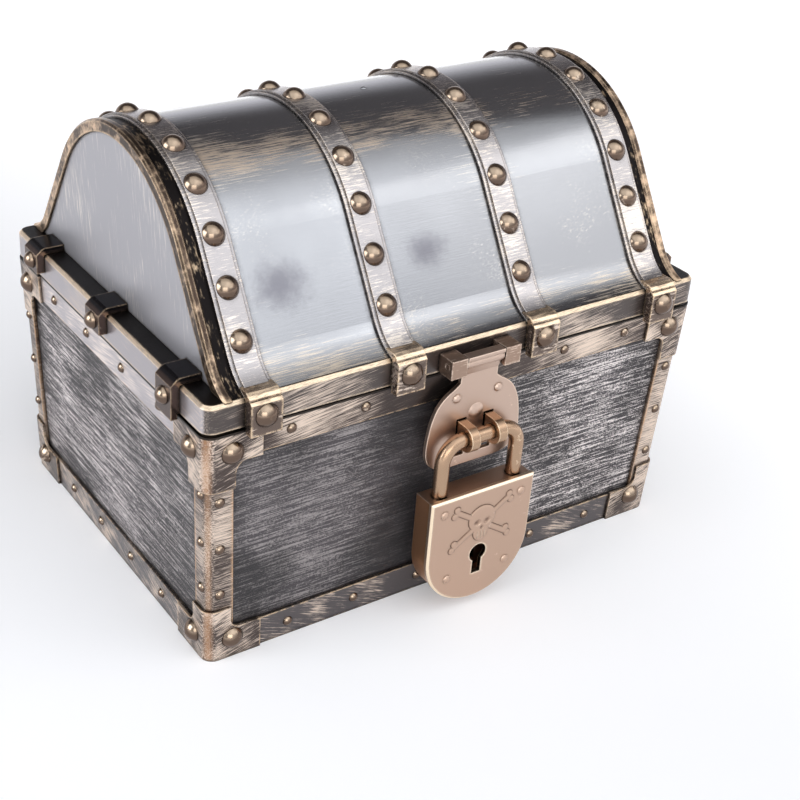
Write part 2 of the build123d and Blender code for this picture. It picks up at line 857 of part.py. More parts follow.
# Hasp plate: neck, shield-shaped plate, slots for the staple rings
hasp_plane = Plane(origin=(0, -hasp_face_out, 0), x_dir=(1, 0, 0), z_dir=(0, -1, 0))
with BuildPart() as hasp_plate:
    with BuildSketch(hasp_plane):
        with BuildLine():
            for side in (-1, 1):
                Line(
                    (side * hasp_neck_half, hasp_axis_high),
                    (side * hasp_neck_half, hasp_shoulder_high + hasp_neck_half / 2),
                )
                Spline(
                    (side * hasp_neck_half, hasp_shoulder_high + hasp_neck_half / 2),
                    (side * hasp_shoulder_half, hasp_shoulder_high),
                    (side * hasp_belly_half, hasp_belly_high),
                    tangents=((side * hasp_neck_share, -1), (side * hasp_belly_share, -1)),
                )
                Spline(
                    (side * hasp_belly_half, hasp_belly_high),
                    (
                        side * (hasp_belly_half - hasp_thickness),
                        hasp_foot_corner_high,
                    ),
                    (side * hasp_foot_half, hasp_low),
                    tangents=((side * hasp_belly_share, -1), (-side, 0)),
                )
            Line((-hasp_foot_half, hasp_low), (hasp_foot_half, hasp_low))
            Line((-hasp_neck_half, hasp_axis_high), (hasp_neck_half, hasp_axis_high))
        make_face()
        with Locations(
            (-slot_place, (slot_low + slot_high) / 2), (slot_place, (slot_low + slot_high) / 2)
        ):
            Rectangle(slot_width, slot_high - slot_low, mode=Mode.SUBTRACT)
    extrude(amount=-hasp_thickness)
    with BuildSketch(Plane.YZ):
        Polygon(
            (-hasp_face_out, hasp_bend_high),
            (-hasp_axis_out - hasp_head_proud, hasp_head_high - hasp_head_flat),
            (-hasp_axis_out - hasp_head_proud, hasp_head_high),
            (-hasp_axis_out + hasp_head_back, hasp_head_high),
            (-hasp_face_out + hasp_thickness, hasp_bend_high),
            align=None,
        )
        with Locations((-hasp_axis_out, hasp_axis_high)):
            Circle(hasp_knuckle_radius)
    extrude(amount=hasp_neck_half, both=True)
    with BuildSketch(Plane.YZ):
        with Locations((-hasp_axis_out, hasp_axis_high)):
            Circle(hasp_pin_radius + bar_fit)
    extrude(amount=hasp_neck_half + overrun, both=True, mode=Mode.SUBTRACT)
    boss_sphere, boss_latitude = rivet_sphere(hasp_boss_radius, hasp_boss_rise)
    with Locations(hasp_plane.location * Location((0, hasp_boss_high, 0))):
        Sphere(
            boss_sphere,
            arc_size1=boss_latitude,
            align=(Align.CENTER, Align.CENTER, Align.MIN),
        )

small_sphere, small_latitude = rivet_sphere(hasp_rivet_radius, hasp_rivet_rise)
with BuildPart() as hasp_rivets:
    for side in (-1, 1):
        seat = hasp_plane.location * Location((side * hasp_rivet_place, hasp_rivet_high, 0))
        with Locations(seat):
            Sphere(
                small_sphere,
                arc_size1=small_latitude,
                align=(Align.CENTER, Align.CENTER, Align.MIN),
            )

# Staple rings: D-shaped ears through the slots, hung on the bar's axis
ring_radius = bar_radius + bar_fit + ring_wall
ring_root = panel_half_depth - draw(staple_plate_high) + staple_plate_thickness + staple_gap
ear_low = slot_low + ring_clearance
ear_high = slot_high - ring_clearance
with BuildPart() as staple_rings:
    for side in (-1, 1):
        with BuildSketch(Plane.YZ.offset(side * slot_place)):
            with Locations((-bar_out, bar_high)):
                Circle(ring_radius)
            Polygon(
                (-ring_root, ear_low),
                (-ring_root, ear_high),
                (-bar_out, bar_high + ring_radius),
                (-bar_out - ring_radius * ring_tangent_share, bar_high),
                (-bar_out + ring_radius * ring_tangent_share, bar_high - ring_radius),
                align=None,
            )
            with Locations((-bar_out, bar_high)):
                Circle(bar_radius + bar_fit, mode=Mode.SUBTRACT)
        extrude(amount=ring_width / 2, both=True)

# Padlock shackle: bar, two corners, two legs
leg_top = bar_high - leg_corner_radius
long_leg_end = case_high - long_leg_depth
short_leg_end = case_high - short_leg_depth
with BuildPart() as shackle:
    with BuildLine() as shackle_path:
        Line((-leg_place, -bar_out, long_leg_end), (-leg_place, -bar_out, leg_top))
        Line(
            (-leg_place + leg_corner_radius, -bar_out, bar_high),
            (leg_place - leg_corner_radius, -bar_out, bar_high),
        )
        Line((leg_place, -bar_out, leg_top), (leg_place, -bar_out, short_leg_end))
        corner_bow = leg_corner_radius * math.sqrt(2) / 2
        for side in (-1, 1):
            ThreePointArc(
                (side * leg_place, -bar_out, leg_top),
                (
                    side * (leg_place - leg_corner_radius + corner_bow),
                    -bar_out,
                    leg_top + corner_bow,
                ),
                (side * (leg_place - leg_corner_radius), -bar_out, bar_high),
            )
    with BuildSketch(Plane(origin=(-leg_place, -bar_out, long_leg_end), z_dir=(0, 0, 1))):
        Circle(bar_radius)
    sweep()
    notch_depth = bolt_travel
    leg_face = -leg_place + bar_radius
    with BuildSketch(Plane(origin=(0, -bar_out, 0), x_dir=(1, 0, 0), z_dir=(0, -1, 0))):
        Polygon(
            (leg_face + overrun, bolt_high + bolt_fit),
            (leg_face - notch_depth, bolt_high + bolt_fit),
            (leg_face - notch_depth, bolt_low),
            (leg_face, bolt_low - leg_travel),
            (leg_face + overrun, bolt_low - leg_travel),
            align=None,
        )
    extrude(amount=bar_radius + overrun, both=True, mode=Mode.SUBTRACT)


def lock_outline(half):
    """Outline of the padlock case: straight sides and a half-round bottom."""
    shrink = case_half - half
    with BuildLine() as outline:
        Polyline(
            (-half, case_arc_high),
            (-half, case_high - shrink),
            (half, case_high - shrink),
            (half, case_arc_high),
        )
        RadiusArc((-half, case_arc_high), (half, case_arc_high), -half)
    return outline


lock_plane = Plane(origin=(0, -case_split, 0), x_dir=(1, 0, 0), z_dir=(0, -1, 0))
with BuildPart() as lock_case:
    with BuildSketch(lock_plane):
        with BuildLine():
            add(lock_outline(case_half - plate_margin).line)
        make_face()
    extrude(amount=-(case_split - case_back))
    back_edges = lock_case.faces().sort_by(Axis.Y)[-1].edges()
    chamfer(back_edges, case_edge)
    with BuildSketch(Plane.XY.offset(case_high - plate_margin)):
        with Locations((-leg_place, -bar_out)):
            Circle(bar_radius + bar_fit)
    extrude(amount=-(long_leg_depth + leg_end_gap - plate_margin), mode=Mode.SUBTRACT)
    with BuildSketch(Plane.XY.offset(case_high - plate_margin)):
        with Locations((leg_place, -bar_out)):
            Circle(bar_radius + bar_fit)
    extrude(amount=-(short_leg_depth + leg_end_gap - plate_margin), mode=Mode.SUBTRACT)
    with BuildSketch(lock_plane):
        Polygon(
            (-pocket_left, pocket_low),
            (pocket_right, pocket_low),
            (pocket_right, pocket_high),
            (-pocket_left, pocket_high),
            align=None,
        )
    extrude(amount=-(case_split - pocket_back), mode=Mode.SUBTRACT)
    with BuildSketch(lock_plane):
        Polygon(
            (-leg_place, bolt_low - bolt_fit),
            (-pocket_left + overrun, bolt_low - bolt_fit),
            (-pocket_left + overrun, bolt_high + bolt_fit),
            (-leg_place, bolt_high + bolt_fit),
            align=None,
        )
    extrude(
        amount=-(case_split - bar_out + bolt_thickness / 2 + bolt_fit), mode=Mode.SUBTRACT
    )

with BuildPart() as lock_front_plate:
    with BuildSketch(lock_plane):
        with BuildLine():
            add(lock_outline(case_half).line)
        make_face()
        with Locations((0, keyhole_high)):
            Circle(keyhole_radius, mode=Mode.SUBTRACT)
        with Locations((0, keyhole_high)):
            Rectangle(
                2 * keyhole_slot_half,
                keyhole_high - keyhole_slot_low,
                align=(Align.CENTER, Align.MAX),
                mode=Mode.SUBTRACT,
            )
    extrude(amount=lock_face_out - case_split)
    plate_edges = lock_front_plate.faces().sort_by(Axis.Y)[0].outer_wire().edges()
    chamfer(plate_edges, lock_bevel)

lock_face_plane = Plane(origin=(0, -lock_face_out, 0), x_dir=(1, 0, 0), z_dir=(0, -1, 0))
nail_sphere, nail_latitude = rivet_sphere(lock_rivet_radius, lock_rivet_rise)
with BuildPart() as lock_plate_rivets:
    for side in (-1, 1):
        for place, high in (
            (lock_rivet_top_place, lock_rivet_top_high),
            (lock_rivet_low_place, lock_rivet_low_high),
        ):
            with Locations(lock_face_plane.location * Location((side * place, high, 0))):
                Sphere(
                    nail_sphere,
                    arc_size1=nail_latitude,
                    align=(Align.CENTER, Align.CENTER, Align.MIN),
                )

# Latch bolt inside the case, with the arm that the key pushes and its leaf spring
bolt_plane = Plane(origin=(0, -bar_out, 0), x_dir=(1, 0, 0), z_dir=(0, -1, 0))
bolt_tip = leg_face - notch_depth + notch_clearance
with BuildPart() as latch_bolt:
    with BuildSketch(bolt_plane):
        Polygon(
            (bolt_tip, bolt_low),
            (0, bolt_low),
            (0, bolt_arm_low),
            (bolt_arm_width, bolt_arm_low),
            (bolt_arm_width, bolt_high),
            (bolt_tip, bolt_high),
            align=None,
        )
    extrude(amount=bolt_thickness / 2, both=True)

with BuildPart() as latch_spring:
    with BuildSketch(bolt_plane):
        Polygon(
            (bolt_arm_width, spring_low),
            (bolt_arm_width + spring_thickness, spring_low),
            (bolt_arm_width + spring_reach, spring_low + spring_rise),
            (bolt_arm_width + spring_reach - spring_thickness, spring_low + spring_rise),
            (bolt_arm_width, spring_low + spring_thickness),
            align=None,
        )
    extrude(amount=spring_width / 2, both=True)

# Hinges at the back: two leaves and a pin each
knuckle = hinge_width * hinge_knuckle_share - hinge_knuckle_gap
middle_knuckle = hinge_width - 2 * knuckle - 2 * hinge_knuckle_gap
hinge_places = (-hinge_place, hinge_place)


def knuckle_run(place, length):
    """One knuckle of a hinge, with its bore."""
    with BuildPart() as piece:
        with BuildSketch(Plane.YZ.offset(place)):
            with Locations((hinge_axis_out, hinge_axis_high)):
                Circle(hinge_knuckle_radius)
                Circle(hinge_pin_radius + hinge_pin_fit, mode=Mode.SUBTRACT)
        extrude(amount=length / 2, both=True)
    return piece


with BuildPart() as hinge_body_leaves:
    leaf_top = box_height - strap_thickness
    for place in hinge_places:
        with BuildSketch(Plane.YZ.offset(place)):
            Polygon(
                (strap_half_depth - draw(leaf_top - hinge_leaf_length), leaf_top - hinge_leaf_length),
                (
                    strap_half_depth - draw(leaf_top - hinge_leaf_length) + hinge_leaf_thickness,
                    leaf_top - hinge_leaf_length,
                ),
                (strap_half_depth - draw(leaf_top) + hinge_leaf_thickness, leaf_top),
                (strap_half_depth - draw(leaf_top), leaf_top),
                align=None,
            )
        extrude(amount=hinge_width / 2, both=True)
        for side in (-1, 1):
            center = place + side * (hinge_width - knuckle) / 2
            add(knuckle_run(center, knuckle).part)
            with BuildSketch(Plane.YZ.offset(center)):
                Polygon(
                    (strap_half_depth - draw(leaf_top), leaf_top - strap_thickness),
                    (hinge_axis_out + hinge_pin_radius, leaf_top - strap_thickness),
                    (hinge_axis_out + hinge_pin_radius, hinge_axis_high - hinge_leaf_root),
                    (hinge_axis_out - hinge_pin_radius, hinge_axis_high - hinge_leaf_root),
                    (strap_half_depth - draw(leaf_top) + hinge_leaf_thickness, leaf_top),
                    (strap_half_depth - draw(leaf_top), leaf_top),
                    align=None,
                )
            extrude(amount=knuckle / 2, both=True)

with BuildPart() as hinge_lid_leaves:
    for place in hinge_places:
        with BuildSketch(Plane.YZ.offset(place)):
            Polygon(
                (half_rim_depth, rim_bottom),
                (hinge_axis_out, hinge_axis_high + hinge_leaf_root),
                (hinge_axis_out, hinge_axis_high + hinge_knuckle_radius - hinge_knuckle_gap),
                (half_rim_depth + hinge_leaf_thickness, rim_bottom + hinge_lid_root),
                (half_rim_depth + hinge_leaf_thickness, rim_bottom + hinge_leaf_length),
                (half_rim_depth, rim_bottom + hinge_leaf_length),
                align=None,
            )
        extrude(amount=middle_knuckle / 2, both=True)
        add(knuckle_run(place, middle_knuckle).part)

with BuildPart() as hinge_pins:
    for place in hinge_places:
        with BuildSketch(Plane.YZ.offset(place)):
            with Locations((hinge_axis_out, hinge_axis_high)):
                Circle(hinge_pin_radius)
        extrude(amount=hinge_width / 2, both=True)

pieces = {
    "floor_panel": floor_panel,
    "front_panel": front_panel,
    "rear_panel": rear_panel,
    "left_end_panel": left_end_panel,
    "right_end_panel": right_end_panel,
    "front_top_strap": front_top_strap,
    "rear_top_strap": rear_top_strap,
    "left_top_strap": left_top_strap,
    "right_top_strap": right_top_strap,
    "front_base_strap": front_base_strap,
    "rear_base_strap": rear_base_strap,
    "left_base_strap": left_base_strap,
    "right_base_strap": right_base_strap,
    "front_left_corner_angle": front_left_corner_angle,
    "front_right_corner_angle": front_right_corner_angle,
    "rear_left_corner_angle": rear_left_corner_angle,
    "rear_right_corner_angle": rear_right_corner_angle,
    "front_left_base_plate": front_left_base_plate,
    "front_right_base_plate": front_right_base_plate,
    "rear_left_base_plate": rear_left_base_plate,
    "rear_right_base_plate": rear_right_base_plate,
    "front_left_top_plate": front_left_top_plate,
    "front_right_top_plate": front_right_top_plate,
    "rear_left_top_plate": rear_left_top_plate,
    "rear_right_top_plate": rear_right_top_plate,
    "corner_plate_rivets": corner_plate_rivets,
    "staple_plate": staple_plate,
    "hinge_body_leaves": hinge_body_leaves,
    "rim_frame": rim_frame,
    "lid_barrel": lid_barrel,
    "left_end_cap": left_end_cap,
    "right_end_cap": right_end_cap,
    "left_edge_trim": left_edge_trim,
    "right_edge_trim": right_edge_trim,
    "outer_left_band": outer_left_band,
    "inner_left_band": inner_left_band,
    "inner_right_band": inner_right_band,
    "outer_right_band": outer_right_band,
    "band_rivets": band_rivets,
    "front_rim_brackets": front_rim_brackets,
    "rear_rim_brackets": rear_rim_brackets,
    "left_rim_brackets": left_rim_brackets,
    "right_rim_brackets": right_rim_brackets,
    "bracket_rivets": bracket_rivets,
    "hasp_mount": hasp_mount,
    "hasp_pin": hasp_pin,
    "hinge_lid_leaves": hinge_lid_leaves,
    "hinge_pins": hinge_pins,
    "hasp_plate": hasp_plate,
    "hasp_rivets": hasp_rivets,
    "staple_rings": staple_rings,
    "shackle": shackle,
    "lock_case": lock_case,
    "lock_front_plate": lock_front_plate,
    "lock_plate_rivets": lock_plate_rivets,
    "latch_bolt": latch_bolt,
    "latch_spring": latch_spring,
}
for name, piece in pieces.items():
    piece.part.label = name
    export_step(piece.part, os.path.join("parts", name + ".step"))
    print(name, len(piece.solids()), round(piece.part.volume, 1))
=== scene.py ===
"""Finishes, small fittings and a studio for the treasure chest."""

import math

import bpy
import numpy as np
from mathutils import Matrix, Vector


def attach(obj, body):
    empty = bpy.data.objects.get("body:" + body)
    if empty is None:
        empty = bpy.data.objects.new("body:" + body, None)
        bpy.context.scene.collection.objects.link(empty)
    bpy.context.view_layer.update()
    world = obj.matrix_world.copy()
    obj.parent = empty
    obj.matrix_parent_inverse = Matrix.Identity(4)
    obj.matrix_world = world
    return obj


bl_info = {
    "name": "Treasure Chest Finishes",
    "version": (1, 0, 0),
    "blender": (4, 5, 0),
    "location": "View3D > Sidebar > Chest",
    "description": "Dresses a strapped treasure chest: worn bronze, grained boards, nails and relief",
    "category": "Object",
}

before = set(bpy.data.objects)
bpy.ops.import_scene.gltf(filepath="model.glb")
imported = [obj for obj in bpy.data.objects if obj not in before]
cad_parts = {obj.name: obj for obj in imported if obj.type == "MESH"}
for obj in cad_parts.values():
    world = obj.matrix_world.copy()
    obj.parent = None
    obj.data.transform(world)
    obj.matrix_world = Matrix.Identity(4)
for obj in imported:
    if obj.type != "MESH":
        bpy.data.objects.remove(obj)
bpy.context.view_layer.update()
MM = 0.001

# Places that patterns and fittings follow, from the CAD. The walls lean outwards: the half sizes
# are those of the strap faces at the box's top, and the foot is drawn in from them.
HALF_LENGTH = 104.3 * MM
HALF_DEPTH = 76.4 * MM
BOX_TOP = 94.2 * MM
DRAW_IN = 2.85 * MM
PARTING_HEIGHT = 94.35 * MM
RIM_END = 104.0 * MM
RIM_LEDGE = 105.28 * MM
HOOD_FOOT = 106.2 * MM
OUTER_BAND = 84.9 * MM
INNER_BAND = 28.87 * MM
OUTER_BAND_EDGE = 90.7 * MM
PLATE_FACE = -91.6 * MM

# Small nails: their distances from the straps' middles and their heights up the corner angles,
# both in mm, then the heights of the rows. None is driven behind the hasp.
FRONT_BASE_NAILS = (13.0, 41.3, 69.3)
FRONT_TOP_NAILS = (14.5, 43.3, 72.4)
END_BASE_NAILS = (13.0, 38.5)
END_TOP_NAILS = (14.5, 43.3)
UPRIGHT_NAILS = (67.5, 48.0, 28.6)
HASP_HALF_WIDTH = 20.0
FRONT_BASE_ROW = 6.0 * MM
END_BASE_ROW = 6.4 * MM
TOP_ROW = 89.0 * MM

# Painted reflections of dark things before the lid, as soft dark spots: centre and reach
PAINTED_REFLECTIONS = (
    ((-0.0651, -0.0546, 0.1298), (0.0085, 0.0070, 0.0070)),
    ((-0.0066, -0.0544, 0.1300), (0.0070, 0.0060, 0.0050)),
)

# The camera, solved from the photograph: pixels of an 800 pixel square, mm and radians
PICTURE = 800
FOCAL_PIXELS = 1476.52
PICTURE_CENTRE = (318.88, 388.56)
CAMERA_PLACE = Vector((-291.39, -422.62, 342.20)) * MM
CAMERA_TURN = math.radians(-33.44)
CAMERA_LIFT = math.radians(30.13)
CAMERA_ROLL = math.radians(2.91)
SENSOR_WIDTH = 36.0

# Half the side of the paper floor
FLOOR_HALF = 4.0

# Tones that several finishes share
BLACK = (0.012, 0.010, 0.010, 1)
# The seat and board tones darken recesses: grime and painted shade.
SEAT_DIRT_AND_SHADE = (0.012, 0.009, 0.008, 1)
# Painted shade for the lips of the gap between box and lid
GAP_SHADE = (0.010, 0.008, 0.008, 1)
BOARD_DIRT_AND_SHADE = (0.015, 0.012, 0.012, 1)
BUMP_DISTANCE = 0.2 * MM


# Sizes and colours that a user would change


def length(label, text, value):
    """A length that a user can change, in metres."""
    return bpy.props.FloatProperty(name=label, description=text, default=value, unit="LENGTH", precision=5)


def tone(label, text, value):
    """A colour that a user can change."""
    return bpy.props.FloatVectorProperty(name=label, description=text, default=(*value, 1.0), size=4,
                                         subtype="COLOR")


class ChestSizes(bpy.types.PropertyGroup):
    nail_radius: length("Nail radius", "Radius of the small domed nails along the straps", 1.95 * MM)
    nail_rise: length("Nail rise", "How far a nail stands out of its strap", 1.3 * MM)
    relief_rise: length("Relief rise", "Height of the crossed bones on the padlock", 0.75 * MM)


class ChestColours(bpy.types.PropertyGroup):
    boards_dark: tone("Board stain", "Dark stain of the boards", (0.026, 0.023, 0.025))
    boards_pale: tone("Board grain", "Pale dry-brushed grain of the boards", (0.84, 0.775, 0.75))
    lacquer: tone("Lid lacquer", "Mirror-like pewter bronze of the lid", (0.43, 0.437, 0.455))
    bronze: tone("Bronze", "Dark ground of the top straps, corner angles and plates", (0.085, 0.066, 0.060))
    copper: tone("Copper strokes", "Beige copper of the brush strokes", (0.80, 0.66, 0.55))
    gold: tone("Worn edges", "Pale gold that shows on worn edges", (0.80, 0.60, 0.40))
    padlock: tone("Padlock bronze", "Satin copper bronze of the padlock", (0.55, 0.385, 0.292))


def finishes():
    return bpy.context.scene.chest_colours


def sizes():
    return bpy.context.scene.chest_sizes


# Node helpers


def join(tree, value, socket):
    """Links a value that is a socket, and sets any other."""
    if isinstance(value, bpy.types.NodeSocket):
        tree.links.new(value, socket)
    else:
        socket.default_value = value


def lay(tree, kind, settings=None, **sockets):
    """One shader node: its settings, then its sockets, each a value or a link."""
    made = tree.nodes.new(kind)
    for key, value in (settings or {}).items():
        setattr(made, key, value)
    feed(tree, made, **sockets)
    return made


def feed(tree, node, **sockets):
    """Fills a node's named sockets."""
    for key, value in sockets.items():
        join(tree, value, node.inputs[key.replace("_", " ")])


def maths(tree, operation, *values):
    """The result of one scalar operation."""
    made = lay(tree, "ShaderNodeMath", {"operation": operation})
    for socket, value in zip(made.inputs, values):
        join(tree, value, socket)
    return made.outputs[0]


def times(tree, first, second):
    return maths(tree, "MULTIPLY", first, second)


def plus(tree, first, second):
    return maths(tree, "ADD", first, second)


def less(tree, first, second):
    return maths(tree, "SUBTRACT", first, second)


def larger(tree, first, second):
    return maths(tree, "MAXIMUM", first, second)


def size_of(tree, value):
    return maths(tree, "ABSOLUTE", value)


def vectors(tree, operation, *values):
    """The outputs of one vector operation."""
    made = lay(tree, "ShaderNodeVectorMath", {"operation": operation})
    for socket, value in zip(made.inputs, values):
        join(tree, value, socket)
    return made.outputs


def mixed(tree, factor, first, second):
    """Two colours mixed by a factor."""
    made = lay(tree, "ShaderNodeMix", {"data_type": "RGBA"})
    for index, value in ((0, factor), (6, first), (7, second)):
        join(tree, value, made.inputs[index])
    return made.outputs[2]


def ramped(tree, value, low, high, out_low=0.0, out_high=1.0):
    """A smooth step from one value at low to another at high. It falls where low is above high."""
    made = lay(tree, "ShaderNodeMapRange", {"interpolation_type": "SMOOTHSTEP"}, Value=value, From_Min=low,
               From_Max=high, To_Min=out_low, To_Max=out_high)
    return made.outputs[0]


def noise(tree, vector, scale, detail, roughness=0.5, distortion=0.0):
    """Cloudy noise between 0 and 1."""
    made = lay(tree, "ShaderNodeTexNoise", None, Vector=vector, Scale=scale, Detail=detail, Roughness=roughness,
               Distortion=distortion)
    return made.outputs[0]


def swing(tree, value, size):
    """A noise value turned into a swing about zero."""
    return times(tree, less(tree, value, 0.5), size)


def apart(tree, vector):
    """The x, y and z of a vector."""
    return lay(tree, "ShaderNodeSeparateXYZ", None, Vector=vector).outputs


def turned(tree, vector, turn):
    """The vector turned by three angles, so that strokes run at a slant."""
    return lay(tree, "ShaderNodeMapping", {"vector_type": "POINT"}, Vector=vector, Rotation=turn).outputs[0]


def object_normal(tree):
    """The surface normal in the piece's own axes."""
    return tree.nodes.new("ShaderNodeTexCoord").outputs["Normal"]


def along_face(tree, vector):
    """The vector with x and y exchanged on faces that look along x, so that strokes run along
    the face on all four sides."""
    x, y, z = apart(tree, vector)
    swapped = lay(tree, "ShaderNodeCombineXYZ", None, X=y, Y=x, Z=z).outputs[0]
    sideways = size_of(tree, apart(tree, object_normal(tree))[0])
    made = lay(tree, "ShaderNodeMix", {"data_type": "VECTOR"})
    for index, value in ((0, maths(tree, "GREATER_THAN", sideways, 0.6)), (4, vector), (5, swapped)):
        join(tree, value, made.inputs[index])
    return made.outputs[1]


# Effects that several finishes share


def effect_group(name, inputs, outputs):
    """An empty shader node group. Each input is a name and its value, each output a name, and
    vectors are told by a value of three numbers or by the name Normal."""
    tree = bpy.data.node_groups.new(name, "ShaderNodeTree")
    for label, value in inputs:
        kind = "NodeSocketVector" if isinstance(value, tuple) else "NodeSocketFloat"
        tree.interface.new_socket(label, in_out="INPUT", socket_type=kind).default_value = value
    for label in outputs:
        kind = "NodeSocketVector" if label == "Normal" else "NodeSocketFloat"
        tree.interface.new_socket(label, in_out="OUTPUT", socket_type=kind)
    entry = tree.nodes.new("NodeGroupInput")
    leave = tree.nodes.new("NodeGroupOutput")
    return tree, entry.outputs, leave


def brush_strokes():
    """Fine strokes: noise stretched along one axis, cut to a threshold, thinned by broad noise."""
    inputs = [("Vector", (0, 0, 0)), ("Stretch", (40, 600, 600)), ("Cover", 0.5), ("Patches", 20.0),
              ("Soft", 0.16)]
    tree, entry, leave = effect_group("brush strokes", inputs, ["Strokes", "Height", "Patch"])
    fine = noise(tree, vectors(tree, "MULTIPLY", entry["Vector"], entry["Stretch"])[0], 1.0, 5.0, 0.66)
    broad = noise(tree, entry["Vector"], entry["Patches"], 3.0)
    level = plus(tree, fine, maths(tree, "MULTIPLY_ADD", broad, 0.75, -0.15))
    edge = less(tree, 0.98, times(tree, entry["Cover"], 0.42))
    strokes = ramped(tree, level, edge, plus(tree, edge, entry["Soft"]))
    feed(tree, leave, Strokes=strokes, Height=fine, Patch=broad)
    return tree


def edge_wear():
    """Worn edges: where the rounded normal leaves the flat one, thinned by noise. Normal is the
    normal of slightly rounded edges."""
    inputs = [("Vector", (0, 0, 0)), ("Reach", 0.0012), ("Breakup", 0.5)]
    tree, entry, leave = effect_group("edge wear", inputs, ["Wear", "Normal"])
    soft = lay(tree, "ShaderNodeBevel", {"samples": 6}, Radius=entry["Reach"]).outputs[0]
    flat = tree.nodes.new("ShaderNodeNewGeometry").outputs["Normal"]
    away = less(tree, 1.0, vectors(tree, "DOT_PRODUCT", soft, flat)["Value"])
    uneven = noise(tree, entry["Vector"], 330.0, 5.0, 0.72)
    thin = times(tree, ramped(tree, uneven, 0.56, 0.44), entry["Breakup"])
    wear = times(tree, ramped(tree, away, 0.02, 0.13), less(tree, 1.0, thin))
    rounded = lay(tree, "ShaderNodeBevel", {"samples": 6}, Radius=0.45 * MM).outputs[0]
    feed(tree, leave, Wear=wear, Normal=rounded)
    return tree


def board_grain():
    """Grain: long thin lines with short pale flecks, small pores and slow colour drift."""
    inputs = [("Vector", (0, 0, 0)), ("Stretch", (30, 700, 700))]
    tree, entry, leave = effect_group("board grain", inputs, ["Lines", "Drift", "Height"])
    drawn = vectors(tree, "MULTIPLY", entry["Vector"], entry["Stretch"])[0]
    lines = noise(tree, drawn, 1.0, 4.0, 0.7, 0.3)
    finer = noise(tree, drawn, 3.1, 3.0, 0.6)
    broad = noise(tree, entry["Vector"], 26.0, 3.0)
    speck = noise(tree, entry["Vector"], 1300.0, 2.0)
    mix = plus(tree, times(tree, lines, 0.55), times(tree, finer, 0.45))
    mix = plus(tree, mix, swing(tree, speck, 0.22))
    level = plus(tree, mix, swing(tree, broad, 0.12))
    feed(tree, leave, Lines=ramped(tree, level, 0.512, 0.562), Drift=broad, Height=mix)
    return tree


def seat_dirt_and_shade():
    """Grime and painted shade in recesses: how closed in a point is, broken up by fine noise."""
    tree, entry, leave = effect_group("seat dirt", [("Vector", (0, 0, 0)), ("Reach", 0.0018)], ["Dirt"])
    closed = lay(tree, "ShaderNodeAmbientOcclusion", {"samples": 5}, Distance=entry["Reach"]).outputs["AO"]
    level = plus(tree, closed, swing(tree, noise(tree, entry["Vector"], 420.0, 3.0), 0.3))
    feed(tree, leave, Dirt=ramped(tree, level, 0.95, 0.45))
    return tree


MAKERS = {"strokes": brush_strokes, "wear": edge_wear, "grain": board_grain, "dirt_and_shade": seat_dirt_and_shade}
GROUPS = {}


def placed(tree, name, **sockets):
    """The outputs of an effect group, built once and placed in a material."""
    if name not in GROUPS:
        GROUPS[name] = MAKERS[name]()
    return lay(tree, "ShaderNodeGroup", {"node_tree": GROUPS[name]}, **sockets).outputs


# Masks on the pieces. Each takes the node tree, the Object vector and the brush strokes, and
# gives a mask with the tone to lay there.


def bright_corner(tree, where, strokes):
    """Copper along the upright edge: near the outer corner of both tapered faces."""
    x, y, z = apart(tree, where)
    drawn = maths(tree, "MULTIPLY_ADD", z, -DRAW_IN / BOX_TOP, DRAW_IN)
    out_x = ramped(tree, plus(tree, size_of(tree, x), drawn), HALF_LENGTH - 2.5 * MM, HALF_LENGTH - 0.3 * MM)
    out_y = ramped(tree, plus(tree, size_of(tree, y), drawn), HALF_DEPTH - 2.6 * MM, HALF_DEPTH - 0.4 * MM)
    thin = ramped(tree, strokes["Height"], 0.35, 0.6, 0.9, 0.35)
    return times(tree, times(tree, out_x, out_y), thin), (0.50, 0.27, 0.14, 1)


def painted_padlock_shadow(tree, where, strokes):
    """Painted shadow of the padlock: darker strap behind the hasp."""
    x, y, _ = apart(tree, where)
    hung = ramped(tree, size_of(tree, plus(tree, x, 10 * MM)), 34 * MM, 20 * MM, 0.0, 0.6)
    return times(tree, hung, maths(tree, "LESS_THAN", y, 0.0)), (0.05, 0.042, 0.04, 1)


def slanting(tree, low, high):
    """Mask of faces that slant upwards, by their normal's height."""
    rise = apart(tree, object_normal(tree))[2]
    return times(tree, ramped(tree, rise, low - 0.06, low), ramped(tree, rise, high + 0.06, high))


def painted_ledge_reflection_and_highlight(tree, where, strokes):
    """Painted dark reflection: black on the flat top of the rim. Painted highlight: gold on its bevel."""
    ledge = ramped(tree, apart(tree, where)[2], RIM_LEDGE, RIM_LEDGE + 0.06 * MM)
    bevel = times(tree, slanting(tree, 0.45, 0.85), ramped(tree, strokes["Height"], 0.36, 0.6, 0.45, 0.9))
    return larger(tree, ledge, bevel), mixed(tree, ledge, (1.0, 0.80, 0.57, 1), BLACK)


def painted_bevel_highlights(tree, where, strokes):
    """Painted highlight: gold on the beads and slopes over the front brackets, thinned by the strokes."""
    thin = ramped(tree, strokes["Height"], 0.35, 0.55, 0.35, 0.9)
    return times(tree, slanting(tree, 0.30, 0.97), thin), (1.0, 0.78, 0.55, 1)


def painted_light_ends(tree, where, strokes):
    """Painted light: greyer, paler ground on the rim's left and right faces."""
    out = ramped(tree, size_of(tree, apart(tree, where)[0]), RIM_END, RIM_END + 0.7 * MM)
    return out, (0.44, 0.41, 0.425, 1)


def painted_hood_reflection(tree, where, strokes):
    """Painted dark reflection: black over the sloping hoods of the end brackets."""
    return ramped(tree, apart(tree, where)[2], HOOD_FOOT, HOOD_FOOT + 1.0 * MM), (0.018, 0.017, 0.020, 1)


